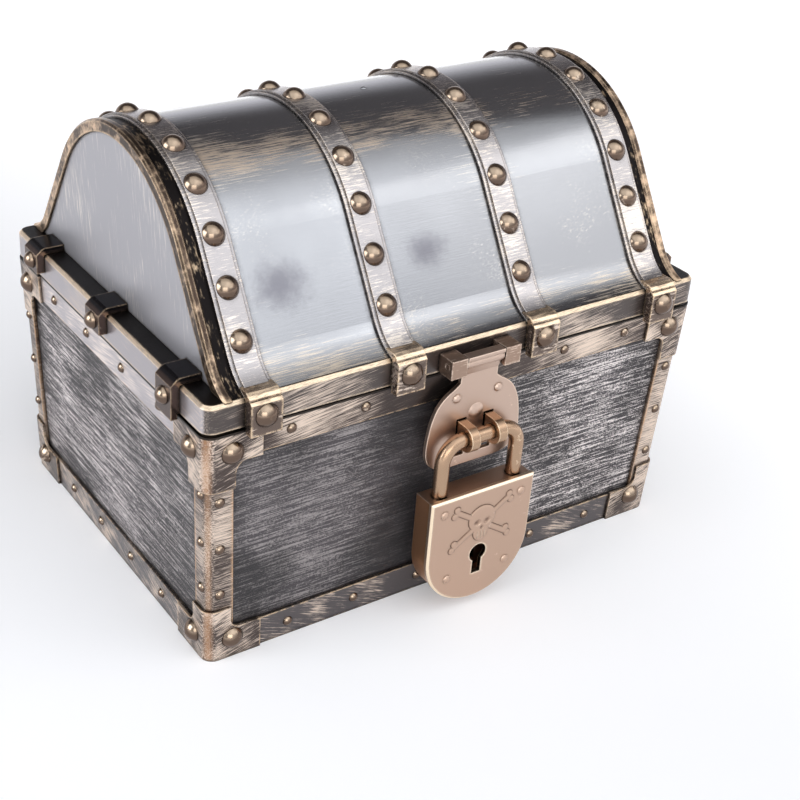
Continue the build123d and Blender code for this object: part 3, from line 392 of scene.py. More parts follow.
def painted_highlight_crown(tree, where, strokes):
    """Painted highlight: pale metal on the upper side of a head."""
    upward = Vector((-0.38, -0.42, 0.82)).normalized()
    facing = vectors(tree, "DOT_PRODUCT", object_normal(tree), upward)["Value"]
    return times(tree, ramped(tree, facing, 0.62, 1.0), 0.5), (0.80, 0.63, 0.46, 1)


def painted_keyhole_shade(tree, where, strokes):
    """Painted shade: black inside the keyhole."""
    x, y, z = apart(tree, where)
    hole = ramped(tree, size_of(tree, x), 4.5 * MM, 4.2 * MM)
    hole = times(tree, hole, ramped(tree, y, -91.2 * MM, -90.8 * MM))
    hole = times(tree, hole, ramped(tree, y, -80 * MM, -84 * MM))
    tall = times(tree, ramped(tree, z, 34 * MM, 33 * MM), ramped(tree, z, 14 * MM, 15 * MM))
    return times(tree, hole, tall), (0.004, 0.003, 0.003, 1)


def painted_plate_highlight(tree, where, strokes):
    """Painted highlight on the bevel round the padlock's front plate, known by its slanting normal."""
    lean = apart(tree, object_normal(tree))[1]
    bevel = times(tree, ramped(tree, lean, -0.93, -0.88), ramped(tree, lean, -0.40, -0.48))
    return bevel, (1.0, 0.82, 0.60, 1)


def painted_shade_sides(tree, where, strokes):
    """Painted shade: deeper brown on the case's left and right sides."""
    sideways = size_of(tree, apart(tree, object_normal(tree))[0])
    return ramped(tree, sideways, 0.5, 0.8), (0.58, 0.31, 0.17, 1)


def dark_foot(tree, where, strokes):
    """Dark outline where the relief meets the plate."""
    foot = ramped(tree, apart(tree, where)[1], PLATE_FACE - 0.45 * MM, PLATE_FACE - 0.12 * MM, 0.0, 0.85)
    return foot, (0.10, 0.055, 0.035, 1)


def painted_gap_shade(tree, where):
    """Painted shade: mask of the lips on both sides of the gap between box and lid, darkened for the gap's
    shadow.
    """
    away = size_of(tree, less(tree, apart(tree, where)[2], PARTING_HEIGHT))
    return ramped(tree, away, 1.1 * MM, 0.8 * MM, 0.0, 0.95)


# Materials


def blank(name):
    """A material with only a Principled shader, and its Object vector."""
    made = bpy.data.materials.new(name)
    made.use_nodes = True
    tree = made.node_tree
    tree.nodes.clear()
    shader = tree.nodes.new("ShaderNodeBsdfPrincipled")
    out = tree.nodes.new("ShaderNodeOutputMaterial")
    tree.links.new(shader.outputs[0], out.inputs[0])
    where = tree.nodes.new("ShaderNodeTexCoord").outputs["Object"]
    return made, tree, shader, where


def scaled(colour, factor):
    """A colour made darker or lighter by one factor."""
    return (*(factor * c for c in colour[:3]), 1)


def worn_metal(name, base, brushed, stretch, cover=0.5, reach=1.2 * MM, breakup=0.5, metal=0.85,
               rough=(0.28, 0.42), worn=None, patches=25.0, bump=0.12, edge_share=1.0, turn=None,
               dirt_and_shade=1.8 * MM, shade=None, ground=None, soft=0.16, follow=False, gap_shade=False):
    """Metal with dry-brushed strokes, bright worn edges and seats darkened by grime and painted shade.

    shade, where given, is a mask function whose tone goes over the strokes. ground does the same
    under them. follow turns the strokes along each side, and gap_shade paints shade on the lips of the lid's
    gap.
    """
    made, tree, shader, where = blank(name)
    vector = along_face(tree, where) if follow else where
    vector = turned(tree, vector, turn) if turn else vector
    strokes = placed(tree, "strokes", Vector=vector, Stretch=stretch, Cover=cover, Patches=patches, Soft=soft)
    wear = placed(tree, "wear", Vector=where, Reach=reach, Breakup=breakup)
    colour = base
    if ground:
        mask, over = ground(tree, where, strokes)
        colour = mixed(tree, mask, base, over)
    colour = mixed(tree, strokes["Strokes"], colour, brushed)
    if shade:
        mask, over = shade(tree, where, strokes)
        colour = mixed(tree, mask, colour, over)
    edge = times(tree, wear["Wear"], edge_share)
    colour = mixed(tree, edge, colour, worn or brushed)
    # Recess darkening: grime and painted shade
    seat = placed(tree, "dirt_and_shade", Vector=where, Reach=dirt_and_shade)["Dirt"]
    colour = mixed(tree, times(tree, seat, 0.9), colour, SEAT_DIRT_AND_SHADE)
    # Painted shade on the lips beside the gap between box and lid
    if gap_shade:
        colour = mixed(tree, painted_gap_shade(tree, where), colour, GAP_SHADE)
    roughness = ramped(tree, larger(tree, strokes["Strokes"], edge), 0.0, 1.0, *rough)
    lifted = lay(tree, "ShaderNodeBump", None, Strength=bump, Distance=BUMP_DISTANCE, Height=strokes["Height"],
                 Normal=wear["Normal"])
    feed(tree, shader, Base_Color=colour, Roughness=roughness, Metallic=metal, Normal=lifted.outputs[0])
    return made


def grained_board(name, dark, pale, stretch, rubbing_and_light):
    """Dark stained board with pale dry-brushed grain. The last argument takes the node tree and the
    Object vector, and tells how strongly the grain shows there: brushing, and on the long boards painted light
    and shadow too."""
    made, tree, shader, where = blank(name)
    grain = placed(tree, "grain", Vector=where, Stretch=stretch)
    lines, drift = grain["Lines"], grain["Drift"]
    deep = mixed(tree, ramped(tree, drift, 0.38, 0.64), dark, scaled(dark, 2.6))
    cover = times(tree, times(tree, lines, ramped(tree, drift, 0.32, 0.62, 0.50, 0.95)), rubbing_and_light(tree, where))
    colour = mixed(tree, cover, deep, pale)
    # Recess darkening: grime and painted shade
    seat = placed(tree, "dirt_and_shade", Vector=where, Reach=5 * MM)["Dirt"]
    colour = mixed(tree, times(tree, seat, 0.8), colour, BOARD_DIRT_AND_SHADE)
    bump = lay(tree, "ShaderNodeBump", None, Strength=0.8, Distance=0.5 * MM, Height=grain["Height"])
    feed(tree, shader, Base_Color=colour, Roughness=ramped(tree, lines, 0.0, 1.0, 0.40, 0.55), Metallic=0.1,
         Specular_IOR_Level=0.4, Normal=bump.outputs[0])
    return made


def long_rubbing_and_light(tree, where):
    """Grain strength with painted light and shadow: on the front the grain grows towards the right as painted
    light, and a painted shadow of the padlock thins it where the padlock hangs. Even on the rear.
    """
    x, y, _ = apart(tree, where)
    hung = ramped(tree, size_of(tree, plus(tree, x, 12 * MM)), 14 * MM, 36 * MM, 0.25, 1.0)
    front = times(tree, ramped(tree, x, -60 * MM, 70 * MM, 0.33, 1.2), hung)
    return larger(tree, front, times(tree, maths(tree, "GREATER_THAN", y, 0.0), 0.75))


def end_rubbing(tree, where):
    """Less towards the foot."""
    return ramped(tree, apart(tree, where)[2], 10 * MM, 80 * MM, 0.72, 1.0)


def painted_reflection_mask(tree, where):
    """Painted reflections as soft dark spots: distance from each centre over its reach, made uneven by noise.
    """
    cloud = noise(tree, where, 170.0, 5.0, 0.65)
    mask = None
    for place, reach in PAINTED_REFLECTIONS:
        spread = vectors(tree, "DIVIDE", vectors(tree, "SUBTRACT", where, place)[0], reach)[0]
        far = vectors(tree, "LENGTH", spread)["Value"]
        uneven = maths(tree, "MULTIPLY_ADD", cloud, 1.6, -0.8)
        spot = ramped(tree, plus(tree, far, uneven), 1.7, 0.1)
        mask = larger(tree, mask, spot) if mask else spot
    return mask


def lacquer(name, base, streak, gold):
    """The lid's lacquer: a bright mirror ground with streaks along the barrel.

    Strokes thicken near the crown, the foot and the bands, the strip outside the outer bands is
    black with gold flecks, and two soft painted reflections darken the front.
    """
    made, tree, shader, where = blank(name)
    x, _, z = apart(tree, where)
    fold = size_of(tree, x)
    outer = size_of(tree, less(tree, fold, OUTER_BAND))
    inner = size_of(tree, less(tree, fold, INNER_BAND))
    near_band = ramped(tree, maths(tree, "MINIMUM", outer, inner), 13.5 * MM, 6 * MM)
    near_foot = ramped(tree, z, 119 * MM, 108 * MM)
    crown = times(tree, ramped(tree, z, 156 * MM, 162.5 * MM), ramped(tree, z, 170.2 * MM, 165 * MM))

    cover = maths(tree, "MULTIPLY_ADD", near_band, 0.12, 0.20)
    cover = maths(tree, "MULTIPLY_ADD", near_foot, 0.42, cover)
    cover = maths(tree, "MULTIPLY_ADD", crown, 0.52, cover)
    strokes = placed(tree, "strokes", Vector=where, Stretch=(85, 2400, 2400), Cover=cover, Patches=22.0,
                     Soft=0.22)
    slant = placed(tree, "strokes", Vector=turned(tree, where, (0, 0.5, 0.2)), Stretch=(130, 1700, 1700),
                   Cover=maths(tree, "MULTIPLY_ADD", near_band, 0.10, 0.34), Patches=40.0, Soft=0.45)
    mask = larger(tree, strokes["Strokes"], slant["Strokes"])
    stroke_tone = mixed(tree, near_foot, streak, (0.80, 0.69, 0.56, 1))
    stroke_tone = mixed(tree, crown, stroke_tone, (0.72, 0.59, 0.47, 1))

    colour = mixed(tree, ramped(tree, strokes["Patch"], 0.35, 0.7), base, scaled(base, 0.88))
    # Painted shade in the reflection: a darker ground low on the right of the lid
    low_right = times(tree, ramped(tree, x, -40 * MM, 60 * MM), ramped(tree, z, 150 * MM, 118 * MM))
    colour = mixed(tree, times(tree, low_right, 0.9), colour, (0.33, 0.335, 0.35, 1))
    # Painted shade in the reflection: a darker ground low in the middle bay
    middle = times(tree, ramped(tree, fold, 34 * MM, 30 * MM), ramped(tree, z, 158 * MM, 148 * MM))
    colour = mixed(tree, times(tree, middle, 0.3), colour, (0.26, 0.264, 0.275, 1))
    colour = mixed(tree, mask, colour, stroke_tone)
    # Painted reflections: two soft dark spots on the front of the lid
    colour = mixed(tree, times(tree, painted_reflection_mask(tree, where), 0.75), colour, (0.16, 0.155, 0.18, 1))

    strip = ramped(tree, fold, OUTER_BAND_EDGE - 0.6 * MM, OUTER_BAND_EDGE)
    fleck = placed(tree, "strokes", Vector=where, Stretch=(900, 300, 300), Cover=0.50, Patches=90.0, Soft=0.3)
    colour = mixed(tree, strip, colour, mixed(tree, fleck["Strokes"], BLACK, gold))
    # Painted shade, with some grime: recesses by the bands and trims go black
    seat = placed(tree, "dirt_and_shade", Vector=where, Reach=2.4 * MM)["Dirt"]
    colour = mixed(tree, seat, colour, BLACK)
    bump = lay(tree, "ShaderNodeBump", None, Strength=0.1, Distance=BUMP_DISTANCE, Height=strokes["Height"])
    rough = larger(tree, ramped(tree, mask, 0, 1, 0.15, 0.42), times(tree, strip, 0.4))
    feed(tree, shader, Base_Color=colour, Roughness=rough, Metallic=0.95, Normal=bump.outputs[0])
    return made


def dress(material, *names):
    """Gives CAD pieces their material."""
    for name in names:
        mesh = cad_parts[name].data
        mesh.materials.clear()
        mesh.materials.append(material)


# Meshes


def grid_mesh(points):
    """A sheet of quads over points[u, v]."""
    rows, columns = points.shape[:2]
    index = np.arange(rows * columns).reshape(rows, columns)
    quads = np.stack([index[:-1, :-1], index[1:, :-1], index[1:, 1:], index[:-1, 1:]], axis=-1).reshape(-1, 4)
    return points.reshape(-1, 3), quads


def heads(places, radius, rise, rings, turns):
    """Domed heads as one mesh: each point is centre + r(u) (cos v, sin v) + h(u) along the
    head's normal, where r and h follow a circle arc with a small straight skirt."""
    sphere = (radius ** 2 + rise ** 2) / (2 * rise)
    bend = np.linspace(0.0, math.asin(min(1.0, radius / sphere)), rings)[1:]
    skirt = -0.15 * rise
    ring_radius = np.concatenate([sphere * np.sin(bend), [radius]])
    ring_height = np.concatenate([sphere * np.cos(bend) - (sphere - rise), [skirt]])
    angle = np.linspace(0, 2 * np.pi, turns, endpoint=False)
    centres = np.array([p[0] for p in places], float)
    normals = np.array([p[1] for p in places], float)
    normals /= np.linalg.norm(normals, axis=1, keepdims=True)
    helper = np.where(np.abs(normals[:, 2:3]) > 0.9, np.array([[1.0, 0, 0]]), np.array([[0, 0, 1.0]]))
    side = np.cross(helper, normals)
    side /= np.linalg.norm(side, axis=1, keepdims=True)
    other = np.cross(normals, side)
    around = (side[:, None, None, :] * np.cos(angle)[None, None, :, None]
              + other[:, None, None, :] * np.sin(angle)[None, None, :, None])
    points = (centres[:, None, None, :] + around * ring_radius[None, :, None, None]
              + normals[:, None, None, :] * ring_height[None, :, None, None])
    tips = centres + normals * rise

    count, rows, columns = points.shape[:3]
    each = rows * columns
    first = (np.arange(count) * each)[:, None]
    index = np.arange(each).reshape(rows, columns)
    beside = np.roll(index, -1, axis=1)
    quads = np.stack([index[:-1], index[1:], beside[1:], beside[:-1]], axis=-1).reshape(-1, 4)
    quads = (quads[None] + first[:, :, None]).reshape(-1, 4)
    tip_index = np.repeat((count * each + np.arange(count))[:, None], columns, 1)
    fans = np.stack([tip_index, index[0][None] + first, beside[0][None] + first], axis=-1).reshape(-1, 3)
    return np.concatenate([points.reshape(-1, 3), tips]), quads.tolist() + fans.tolist()


def piece(name, points, faces, material, body):
    """A smooth mesh object at the origin that rides on a body and takes a finish slot."""
    mesh = bpy.data.meshes.new(name)
    mesh.from_pydata(points.tolist(), [], faces)
    mesh.update()
    mesh.polygons.foreach_set("use_smooth", [True] * len(mesh.polygons))
    mesh.materials.append(bpy.data.materials[material])
    made = bpy.data.objects.new(name, mesh)
    bpy.context.collection.objects.link(made)
    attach(made, body)


def drawn_in(z):
    """How far the leaning walls stand in at a height."""
    return DRAW_IN * (1 - z / BOX_TOP)


def front_point(x, z, side):
    """A point on a front or rear strap, with the face's outward normal."""
    return (x, side * (HALF_DEPTH - drawn_in(z)), z), (0, side, -DRAW_IN / BOX_TOP)


def end_point(y, z, side):
    """A point on an end strap, with the face's outward normal."""
    return (side * (HALF_LENGTH - drawn_in(z)), y, z), (side, 0, -DRAW_IN / BOX_TOP)


def capsule(x, z, start, end, radius):
    """Height of a round bar between two points: the square root of radius squared minus the
    distance to the segment squared, over the radius, zero outside."""
    ax, az = start
    dx, dz = end[0] - ax, end[1] - az
    along = np.clip(((x - ax) * dx + (z - az) * dz) / (dx * dx + dz * dz), 0, 1)
    return knob(x - along * dx, z - along * dz, start, radius)


def knob(x, z, centre, radius):
    """Height of a ball half sunk in the plate: the square root of radius squared minus the
    distance to its centre squared, over the radius, zero outside."""
    far = np.hypot(x - centre[0], z - centre[1])
    return np.sqrt(np.clip(radius ** 2 - far ** 2, 0, None)) / radius


def bones_and_skull(x, z):
    """Relief height over the plate, from 0 to about 1: the largest of two crossed bars with two
    balls at each end and of two flattened balls for the skull and jaw, less two balls for the
    eyes, one for the nose and narrow bell curves between the teeth. The plate lies below 0."""
    height = np.zeros_like(x)
    for sign in (-1, 1):
        height = np.maximum(height, 0.62 * capsule(x, z, (-11.2 * sign, -7.2), (11.2 * sign, 7.6), 1.25))
        for end in (-1, 1):
            px, pz = end * 11.6 * sign, end * 7.4 + 0.2
            height = np.maximum(height, 0.72 * knob(x, z, (px, pz + 1.3), 1.55))
            height = np.maximum(height, 0.72 * knob(x, z, (px + end * sign * 0.9, pz - 1.2), 1.55))
    skull = np.maximum(knob(x / 1.08, z, (0, 2.0), 5.6), 0.8 * knob(x, z * 0.85, (0, -3.1), 3.5))
    height = np.maximum(height, 1.15 * skull ** 0.7)
    for sign in (-1, 1):
        height -= 0.75 * knob(x, z * 1.1, (sign * 2.15, 0.9), 1.55)
    height -= 0.6 * knob(x * 1.25, z, (0, -1.7), 0.95)
    for tooth in (-1.5, 0.0, 1.5):
        groove = np.exp(-((x - tooth) / 0.22) ** 2) * (z < -3.3) * (z > -6.2) * (np.abs(x) < 2.6)
        height -= 0.35 * groove
    return np.where(height > 0.02, height, -0.12)


# Operators


class CHEST_OT_boards(bpy.types.Operator):
    """Stains the floor and wall boards"""

    bl_idname = "chest.boards"
    bl_label = "Boards"

    def execute(self, context):
        dark, pale = finishes().boards_dark, finishes().boards_pale
        long_board = grained_board("long board", dark, pale, (45, 500, 1750), long_rubbing_and_light)
        end_board = grained_board("end board", dark, pale, (500, 45, 1750), end_rubbing)
        dress(long_board, "front_panel", "rear_panel", "floor_panel")
        dress(end_board, "left_end_panel", "right_end_panel")
        return {"FINISHED"}


class CHEST_OT_straps(bpy.types.Operator):
    """Finishes the straps, corner angles and corner plates in worn bronze"""

    bl_idname = "chest.straps"
    bl_label = "Straps and corners"

    def execute(self, context):
        tones = finishes()
        brushed = {"worn": tones.gold, "bump": 0.35, "breakup": 0.9}
        fronts = worn_metal("strap bronze", tones.bronze, tones.copper, (95, 3400, 3400), cover=0.74,
                            turn=(0, 0.14, 0), soft=0.22, shade=painted_padlock_shadow, gap_shade=True, **brushed)
        # Painted light: the end straps take a pale grey ground and paler strokes, a lit copy of the strap
        # bronze
        ends = worn_metal("lit end strap bronze", (0.50, 0.465, 0.48, 1), (0.95, 0.84, 0.77, 1), (3400, 95, 3400),
                          cover=0.84, turn=(0.14, 0, 0), soft=0.22, gap_shade=True, **brushed)
        low_fronts = worn_metal("base strap bronze", (0.12, 0.108, 0.11, 1), tones.copper, (110, 3400, 3400),
                                cover=0.44, turn=(0, -0.4, 0), patches=60, **brushed)
        low_ends = worn_metal("end base strap bronze", (0.13, 0.12, 0.125, 1), tones.copper, (3400, 110, 3400),
                              cover=0.56, turn=(-0.4, 0, 0), patches=60, **brushed)
        upright = worn_metal("corner bronze", tones.bronze, tones.copper, (140, 3400, 3400), cover=0.92,
                             reach=2.2 * MM, worn=(0.66, 0.42, 0.25, 1), shade=bright_corner, bump=0.5,
                             soft=0.24, follow=True)
        plates = worn_metal("plate bronze", tones.bronze, tones.copper, (150, 3200, 3200), cover=0.74,
                            turn=(0, 0.3, 0), shade=bright_corner, patches=50, follow=True, gap_shade=True,
                            **brushed)
        for face in ("front", "rear"):
            dress(fronts, face + "_top_strap")
            dress(low_fronts, face + "_base_strap")
        for face in ("left", "right"):
            dress(ends, face + "_top_strap")
            dress(low_ends, face + "_base_strap")
        for corner in ("front_left", "front_right", "rear_left", "rear_right"):
            dress(upright, corner + "_corner_angle")
            dress(plates, corner + "_top_plate", corner + "_base_plate")
        return {"FINISHED"}


class CHEST_OT_lid(bpy.types.Operator):
    """Finishes the rim, barrel, ends, bands and brackets"""

    bl_idname = "chest.lid"
    bl_label = "Lid"

    def execute(self, context):
        tones = finishes()
        gold = tones.gold
        shell = lacquer("lid lacquer", tones.lacquer, (0.74, 0.70, 0.64, 1), gold)
        ends = worn_metal("end lacquer", (0.385, 0.377, 0.398, 1), (0.70, 0.65, 0.60, 1), (1500, 1500, 75),
                          cover=0.50, metal=0.6, rough=(0.36, 0.42), bump=0.05, patches=14, turn=(0.15, 0, 0),
                          dirt_and_shade=1.2 * MM)
        bands = worn_metal("band bronze", (0.46, 0.435, 0.435, 1), (0.92, 0.83, 0.74, 1), (170, 2200, 2200),
                           cover=0.60, metal=0.95, rough=(0.24, 0.38), reach=0.8 * MM, bump=0.15, worn=gold,
                           patches=45, breakup=0.9, dirt_and_shade=2.2 * MM, edge_share=0.35)
        rim = worn_metal("rim bronze", (0.10, 0.085, 0.08, 1), tones.copper, (95, 3400, 3400), cover=0.58,
                         reach=1.8 * MM, turn=(0, 0.14, 0), worn=(1.0, 0.80, 0.58, 1), shade=painted_ledge_reflection_and_highlight,
                         bump=0.35, soft=0.22, follow=True, ground=painted_light_ends, gap_shade=True)
        trims = worn_metal("trim copper", (0.06, 0.04, 0.03, 1), (0.80, 0.58, 0.40, 1), (240, 240, 240),
                           cover=0.86, reach=1.6 * MM, worn=gold, bump=0.3, soft=0.34)
        brackets = worn_metal("bracket copper", (0.16, 0.12, 0.10, 1), tones.copper, (200, 900, 900),
                              cover=0.66, reach=1.7 * MM, worn=(0.95, 0.73, 0.50, 1), rough=(0.22, 0.35),
                              bump=0.3, shade=painted_bevel_highlights, breakup=0.8)
        hoods = worn_metal("hood copper", (0.10, 0.07, 0.06, 1), tones.copper, (220, 90, 220), cover=0.35,
                           reach=1.1 * MM, worn=gold, rough=(0.25, 0.35), shade=painted_hood_reflection, edge_share=0.45)
        rivets = worn_metal("rivet bronze", (0.15, 0.105, 0.08, 1), (0.62, 0.50, 0.40, 1), (420, 420, 420),
                            cover=0.34, rough=(0.18, 0.3), metal=1.0, bump=0.03, edge_share=0.0, dirt_and_shade=1.4 * MM,
                            shade=painted_highlight_crown)
        dress(shell, "lid_barrel")
        dress(ends, "left_end_cap", "right_end_cap")
        dress(bands, "outer_left_band", "inner_left_band", "inner_right_band", "outer_right_band")
        dress(rim, "rim_frame")
        dress(trims, "left_edge_trim", "right_edge_trim")
        dress(brackets, "front_rim_brackets", "rear_rim_brackets")
        dress(hoods, "left_rim_brackets", "right_rim_brackets")
        dress(rivets, "band_rivets", "bracket_rivets", "corner_plate_rivets")
        return {"FINISHED"}


class CHEST_OT_padlock(bpy.types.Operator):
    """Finishes the hasp, padlock, hinges and latch"""

    bl_idname = "chest.padlock"
    bl_label = "Hasp and padlock"

    def execute(self, context):
        bronze = finishes().padlock
        pale = (0.92, 0.74, 0.60, 1)
        polished = (1.0, 0.86, 0.66, 1)
        even = (300, 300, 300)
        smooth = {"metal": 1.0, "bump": 0.03}
        satin = {"cover": 0.12, "reach": 0.8 * MM, "breakup": 0.25, "rough": (0.36, 0.34), "dirt_and_shade": 1.2 * MM,
                 **smooth}
        plated = {"cover": 0.12, "breakup": 0.2, "rough": (0.36, 0.30), "worn": polished, **smooth}
        bar = worn_metal("shackle bronze", (0.46, 0.31, 0.205, 1), (0.95, 0.74, 0.52, 1), even, cover=0.18,
                         reach=0.8 * MM, breakup=0.25, rough=(0.26, 0.3), dirt_and_shade=1.6 * MM, **smooth)
        rivets = worn_metal("padlock bronze", bronze, pale, even, shade=painted_keyhole_shade, **satin)
        case = worn_metal("padlock case bronze", bronze, pale, even, shade=painted_keyhole_shade, ground=painted_shade_sides,
                          **satin)
        rubbed = {**satin, "cover": 0.2, "reach": 1.0 * MM}
        hasp = worn_metal("hasp bronze", (0.575, 0.43, 0.35, 1), pale, even, **rubbed)
        plate = worn_metal("padlock plate bronze", bronze, pale, even, reach=1.6 * MM, dirt_and_shade=1.2 * MM,
                           shade=painted_keyhole_shade, ground=painted_plate_highlight, **plated)
        # Taken by name when the relief is made
        worn_metal("padlock relief bronze", bronze, pale, even, reach=0.9 * MM, dirt_and_shade=2.0 * MM, shade=dark_foot,
                   **plated)
        mount = worn_metal("mount bronze", (0.36, 0.25, 0.19, 1), pale, (180, 1800, 1800), cover=0.66,
                           metal=0.9, rough=(0.32, 0.36), worn=pale, reach=1.1 * MM, bump=0.3, breakup=0.9)
        steel = worn_metal("latch steel", (0.5, 0.5, 0.5, 1), (0.7, 0.7, 0.7, 1), (300, 80, 80), metal=1.0)
        dress(bar, "staple_rings", "shackle")
        dress(rivets, "lock_plate_rivets")
        dress(hasp, "hasp_plate", "hasp_rivets")
        dress(case, "lock_case")
        dress(plate, "lock_front_plate")
        dress(mount, "hasp_mount", "hasp_pin", "staple_plate")
        dress(mount, "hinge_body_leaves", "hinge_lid_leaves", "hinge_pins")
        dress(steel, "latch_bolt", "latch_spring")
        return {"FINISHED"}


class CHEST_OT_nails(bpy.types.Operator):
    """Drives the small domed nails into the straps and corner angles, and the pip into the crown"""

    bl_idname = "chest.nails"
    bl_label = "Strap nails"

    def execute(self, context):
        places = []
        for side in (-1, 1):
            for x in FRONT_BASE_NAILS:
                places += [front_point(sign * x * MM, FRONT_BASE_ROW, side) for sign in (-1, 1)]
            for x in FRONT_TOP_NAILS:
                if x > HASP_HALF_WIDTH or side > 0:
                    places += [front_point(sign * x * MM, TOP_ROW, side) for sign in (-1, 1)]
            for y in END_BASE_NAILS:
                places += [end_point(sign * y * MM, END_BASE_ROW, side) for sign in (-1, 1)]
            for y in END_TOP_NAILS:
                places += [end_point(sign * y * MM, TOP_ROW, side) for sign in (-1, 1)]
            for z in UPRIGHT_NAILS:
                out_x = HALF_LENGTH - drawn_in(z * MM) - 5 * MM
                out_y = HALF_DEPTH - drawn_in(z * MM) - 4.2 * MM
                for sign in (-1, 1):
                    places.append(front_point(sign * out_x, z * MM, side))
                    places.append(end_point(sign * out_y, (z + 2.5) * MM, side))
        points, faces = heads(places, sizes().nail_radius, sizes().nail_rise, rings=5, turns=14)
        piece("strap_nails", points, faces, "rivet bronze", "chest_body")
        crown = [((0.5 * MM, 0.3 * MM, 169.7 * MM), (0, 0, 1))]
        points, faces = heads(crown, 1.3 * MM, 0.7 * MM, rings=4, turns=16)
        piece("lid_pip", points, faces, "lid lacquer", "lid")
        return {"FINISHED"}


class CHEST_OT_emblem(bpy.types.Operator):
    """Raises crossed bones and a skull on the padlock's front plate"""

    bl_idname = "chest.emblem"
    bl_label = "Padlock relief"

    def execute(self, context):
        # A grid over the plate, in mm from the relief's centre
        centre_height = 36.6
        x, z = np.meshgrid(np.linspace(-14.5, 14.5, 175), np.linspace(-11.0, 11.0, 133), indexing="ij")
        height = bones_and_skull(x, z)
        out = PLATE_FACE - height * sizes().relief_rise
        points, quads = grid_mesh(np.stack([x * MM, out, (z + centre_height) * MM], axis=-1))
        raised = quads[(height.reshape(-1)[quads] > 0).any(axis=1)]
        used, faces = np.unique(raised, return_inverse=True)
        piece("lock_relief", points[used], faces.reshape(-1, 4).tolist(), "padlock relief bronze", "lock")
        return {"FINISHED"}


# Studio


def set_camera(scene):
    """The photograph's camera: turned, lifted and rolled, with the picture's centre shifted."""
    turn, lift, roll = CAMERA_TURN, CAMERA_LIFT, CAMERA_ROLL
    back = Vector((math.sin(turn) * math.cos(lift), -math.cos(turn) * math.cos(lift), math.sin(lift)))
    right = Vector((math.cos(turn), math.sin(turn), 0))
    up = back.cross(right)
    across = math.cos(roll) * right + math.sin(roll) * up
    above = -math.sin(roll) * right + math.cos(roll) * up
    lens = bpy.data.cameras.new("camera")
    lens.sensor_width = SENSOR_WIDTH
    lens.lens = FOCAL_PIXELS / PICTURE * SENSOR_WIDTH
    lens.shift_x = (PICTURE / 2 - PICTURE_CENTRE[0]) / PICTURE
    lens.shift_y = (PICTURE_CENTRE[1] - PICTURE / 2) / PICTURE
    camera = bpy.data.objects.new("camera", lens)
    scene.collection.objects.link(camera)
    axes = Matrix((across, above, back)).transposed().to_4x4()
    camera.matrix_world = Matrix.Translation(CAMERA_PLACE) @ axes
    scene.camera = camera


def background_rays(tree):
    """1 for rays from the camera, and 1 for mirrored and passed rays, as two values."""
    path = tree.nodes.new("ShaderNodeLightPath").outputs
    return path["Is Camera Ray"], larger(tree, path["Is Glossy Ray"], path["Is Transmission Ray"])


def paper_floor(scene):
    """Pale paper that keeps the chest's shadow and glows towards the right and the distance."""
    paper, tree, shader, where = blank("studio paper")
    x, y, _ = apart(tree, where)
    rightward = plus(tree, times(tree, x, 0.94), times(tree, y, 0.336))
    far = vectors(tree, "LENGTH", where)["Value"]
    level = plus(tree, ramped(tree, rightward, -0.05, 0.28, 0.17, 0.5), ramped(tree, far, 0.36, 1.3, 0.0, 0.7))
    glow = times(tree, larger(tree, *background_rays(tree)), level)
    feed(tree, shader, Base_Color=(0.80, 0.805, 0.82, 1), Roughness=0.9, Emission_Color=(1, 1, 1, 1),
         Emission_Strength=glow)
    half = FLOOR_HALF
    corners = [(-half, -half, 0), (half, -half, 0), (half, half, 0), (-half, half, 0)]
    sheet = bpy.data.meshes.new("studio_floor")
    sheet.from_pydata(corners, [], [(0, 1, 2, 3)])
    sheet.materials.append(paper)
    floor = bpy.data.objects.new("studio_floor", sheet)
    scene.collection.objects.link(floor)


def studio_world(scene):
    """A white backdrop for the camera and, as a low band, for mirrored rays. Above it stands a
    studio that is bright low down behind the chest and paler towards its front right."""
    world = bpy.data.worlds.new("studio world")
    scene.world = world
    world.use_nodes = True
    tree = world.node_tree
    tree.nodes.clear()
    direction = tree.nodes.new("ShaderNodeTexCoord").outputs["Generated"]
    high = apart(tree, direction)[2]

    def facing(way):
        return vectors(tree, "DOT_PRODUCT", direction, Vector(way).normalized())["Value"]

    behind = mixed(tree, ramped(tree, high, 0.06, 0.56), (1.0, 0.99, 1.05, 1), (0.085, 0.075, 0.078, 1))
    to_front_right = ramped(tree, facing((0.477, -0.74, 0.44)), 0.45, 0.86)
    before = mixed(tree, to_front_right, (0.48, 0.49, 0.52, 1), (1.0, 1.02, 1.07, 1))
    studio = mixed(tree, ramped(tree, facing((-0.45, -0.72, 0.0)), -0.25, 0.25), behind, before)
    camera, mirrored = background_rays(tree)
    share = larger(tree, camera, times(tree, mirrored, ramped(tree, high, 0.08, 0.02)))
    sky = lay(tree, "ShaderNodeBackground", None, Color=studio, Strength=1.0)
    seen = lay(tree, "ShaderNodeBackground", None, Color=(0.985, 0.985, 0.97, 1), Strength=1.0)
    mix = tree.nodes.new("ShaderNodeMixShader")
    out = tree.nodes.new("ShaderNodeOutputWorld")
    for value, socket in ((share, 0), (sky.outputs[0], 1), (seen.outputs[0], 2)):
        join(tree, value, mix.inputs[socket])
    tree.links.new(mix.outputs[0], out.inputs[0])


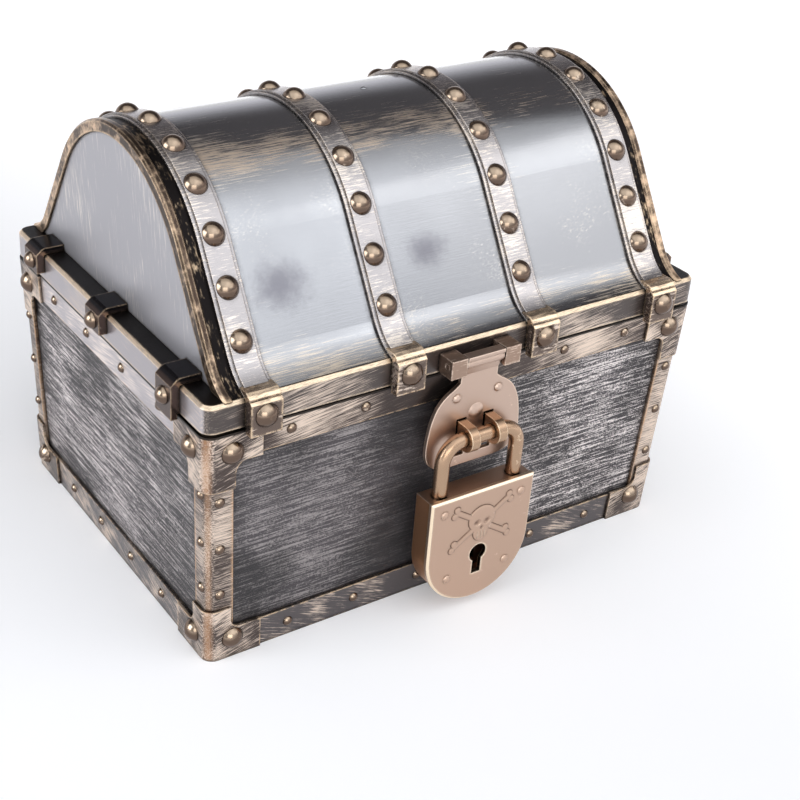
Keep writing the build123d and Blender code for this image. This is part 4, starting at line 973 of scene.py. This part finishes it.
def softbox(scene, name, place, aim, width, height, radiance, tint):
    """A rectangular lamp that looks along aim, as bright as its radiance says."""
    lamp = bpy.data.lights.new(name, "AREA")
    lamp.shape = "RECTANGLE"
    lamp.size = width
    lamp.size_y = height
    lamp.energy = radiance * math.pi * width * height
    lamp.color = tint
    made = bpy.data.objects.new(name, lamp)
    scene.collection.objects.link(made)
    made.matrix_world = Matrix.Translation(place) @ aim.to_track_quat("-Z", "Y").to_matrix().to_4x4()
    return made


class CHEST_OT_studio(bpy.types.Operator):
    """Sets the floor, softboxes and camera"""

    bl_idname = "chest.studio"
    bl_label = "Studio"

    def execute(self, context):
        scene = context.scene
        scene.view_settings.view_transform = "Standard"
        set_camera(scene)
        paper_floor(scene)
        studio_world(scene)
        right = Vector((math.cos(CAMERA_TURN), math.sin(CAMERA_TURN), 0))
        ahead = Vector((-math.sin(CAMERA_TURN), math.cos(CAMERA_TURN), 0))
        above = ahead * -0.42 + right * 0.42 + Vector((0, 0, 0.9))
        down = Vector((0, 0, -1))
        overhead = softbox(scene, "overhead_softbox", above, down, 1.9, 1.34, 0.66, (0.97, 0.985, 1.0))
        overhead.matrix_world = Matrix.Translation(above) @ Matrix.Rotation(CAMERA_TURN, 4, "Z")
        for name, place, target_height, width, height, radiance, tint in (
            ("right_softbox", (1.1, -0.78, 0.85), 0.07, 0.8, 0.8, 0.7, (1.0, 0.98, 0.95)),
            ("left_softbox", (-1.25, 0.15, 0.55), 0.08, 0.8, 0.8, 4.2, (0.95, 0.97, 1.0)),
            ("front_softbox", (-0.75, -1.2, 0.55), 0.05, 1.0, 0.8, 2.4, (1.0, 0.985, 0.96)),
        ):
            aim = Vector((0, 0, target_height)) - Vector(place)
            softbox(scene, name, place, aim, width, height, radiance, tint)
        return {"FINISHED"}


class CHEST_PT_panel(bpy.types.Panel):
    """Lists the chest's steps, sizes and colours"""

    bl_idname = "CHEST_PT_panel"
    bl_label = "Treasure chest"
    bl_space_type = "VIEW_3D"
    bl_region_type = "UI"
    bl_category = "Chest"

    def draw(self, context):
        for group in (context.scene.chest_sizes, context.scene.chest_colours):
            for key in group.__annotations__:
                self.layout.prop(group, key)
        for step in STEPS:
            self.layout.operator(step.bl_idname)


STEPS = (CHEST_OT_boards, CHEST_OT_straps, CHEST_OT_lid, CHEST_OT_padlock, CHEST_OT_nails, CHEST_OT_emblem,
         CHEST_OT_studio)
CLASSES = (ChestSizes, ChestColours, *STEPS, CHEST_PT_panel)


def register():
    for item in CLASSES:
        bpy.utils.register_class(item)
    bpy.types.Scene.chest_sizes = bpy.props.PointerProperty(type=ChestSizes)
    bpy.types.Scene.chest_colours = bpy.props.PointerProperty(type=ChestColours)


def unregister():
    del bpy.types.Scene.chest_sizes
    del bpy.types.Scene.chest_colours
    for item in reversed(CLASSES):
        bpy.utils.unregister_class(item)


def main():
    register()
    bpy.ops.chest.boards()
    bpy.ops.chest.straps()
    bpy.ops.chest.lid()
    bpy.ops.chest.padlock()
    bpy.ops.chest.nails()
    bpy.ops.chest.emblem()
    bpy.ops.chest.studio()


if __name__ == "__main__":
    main()
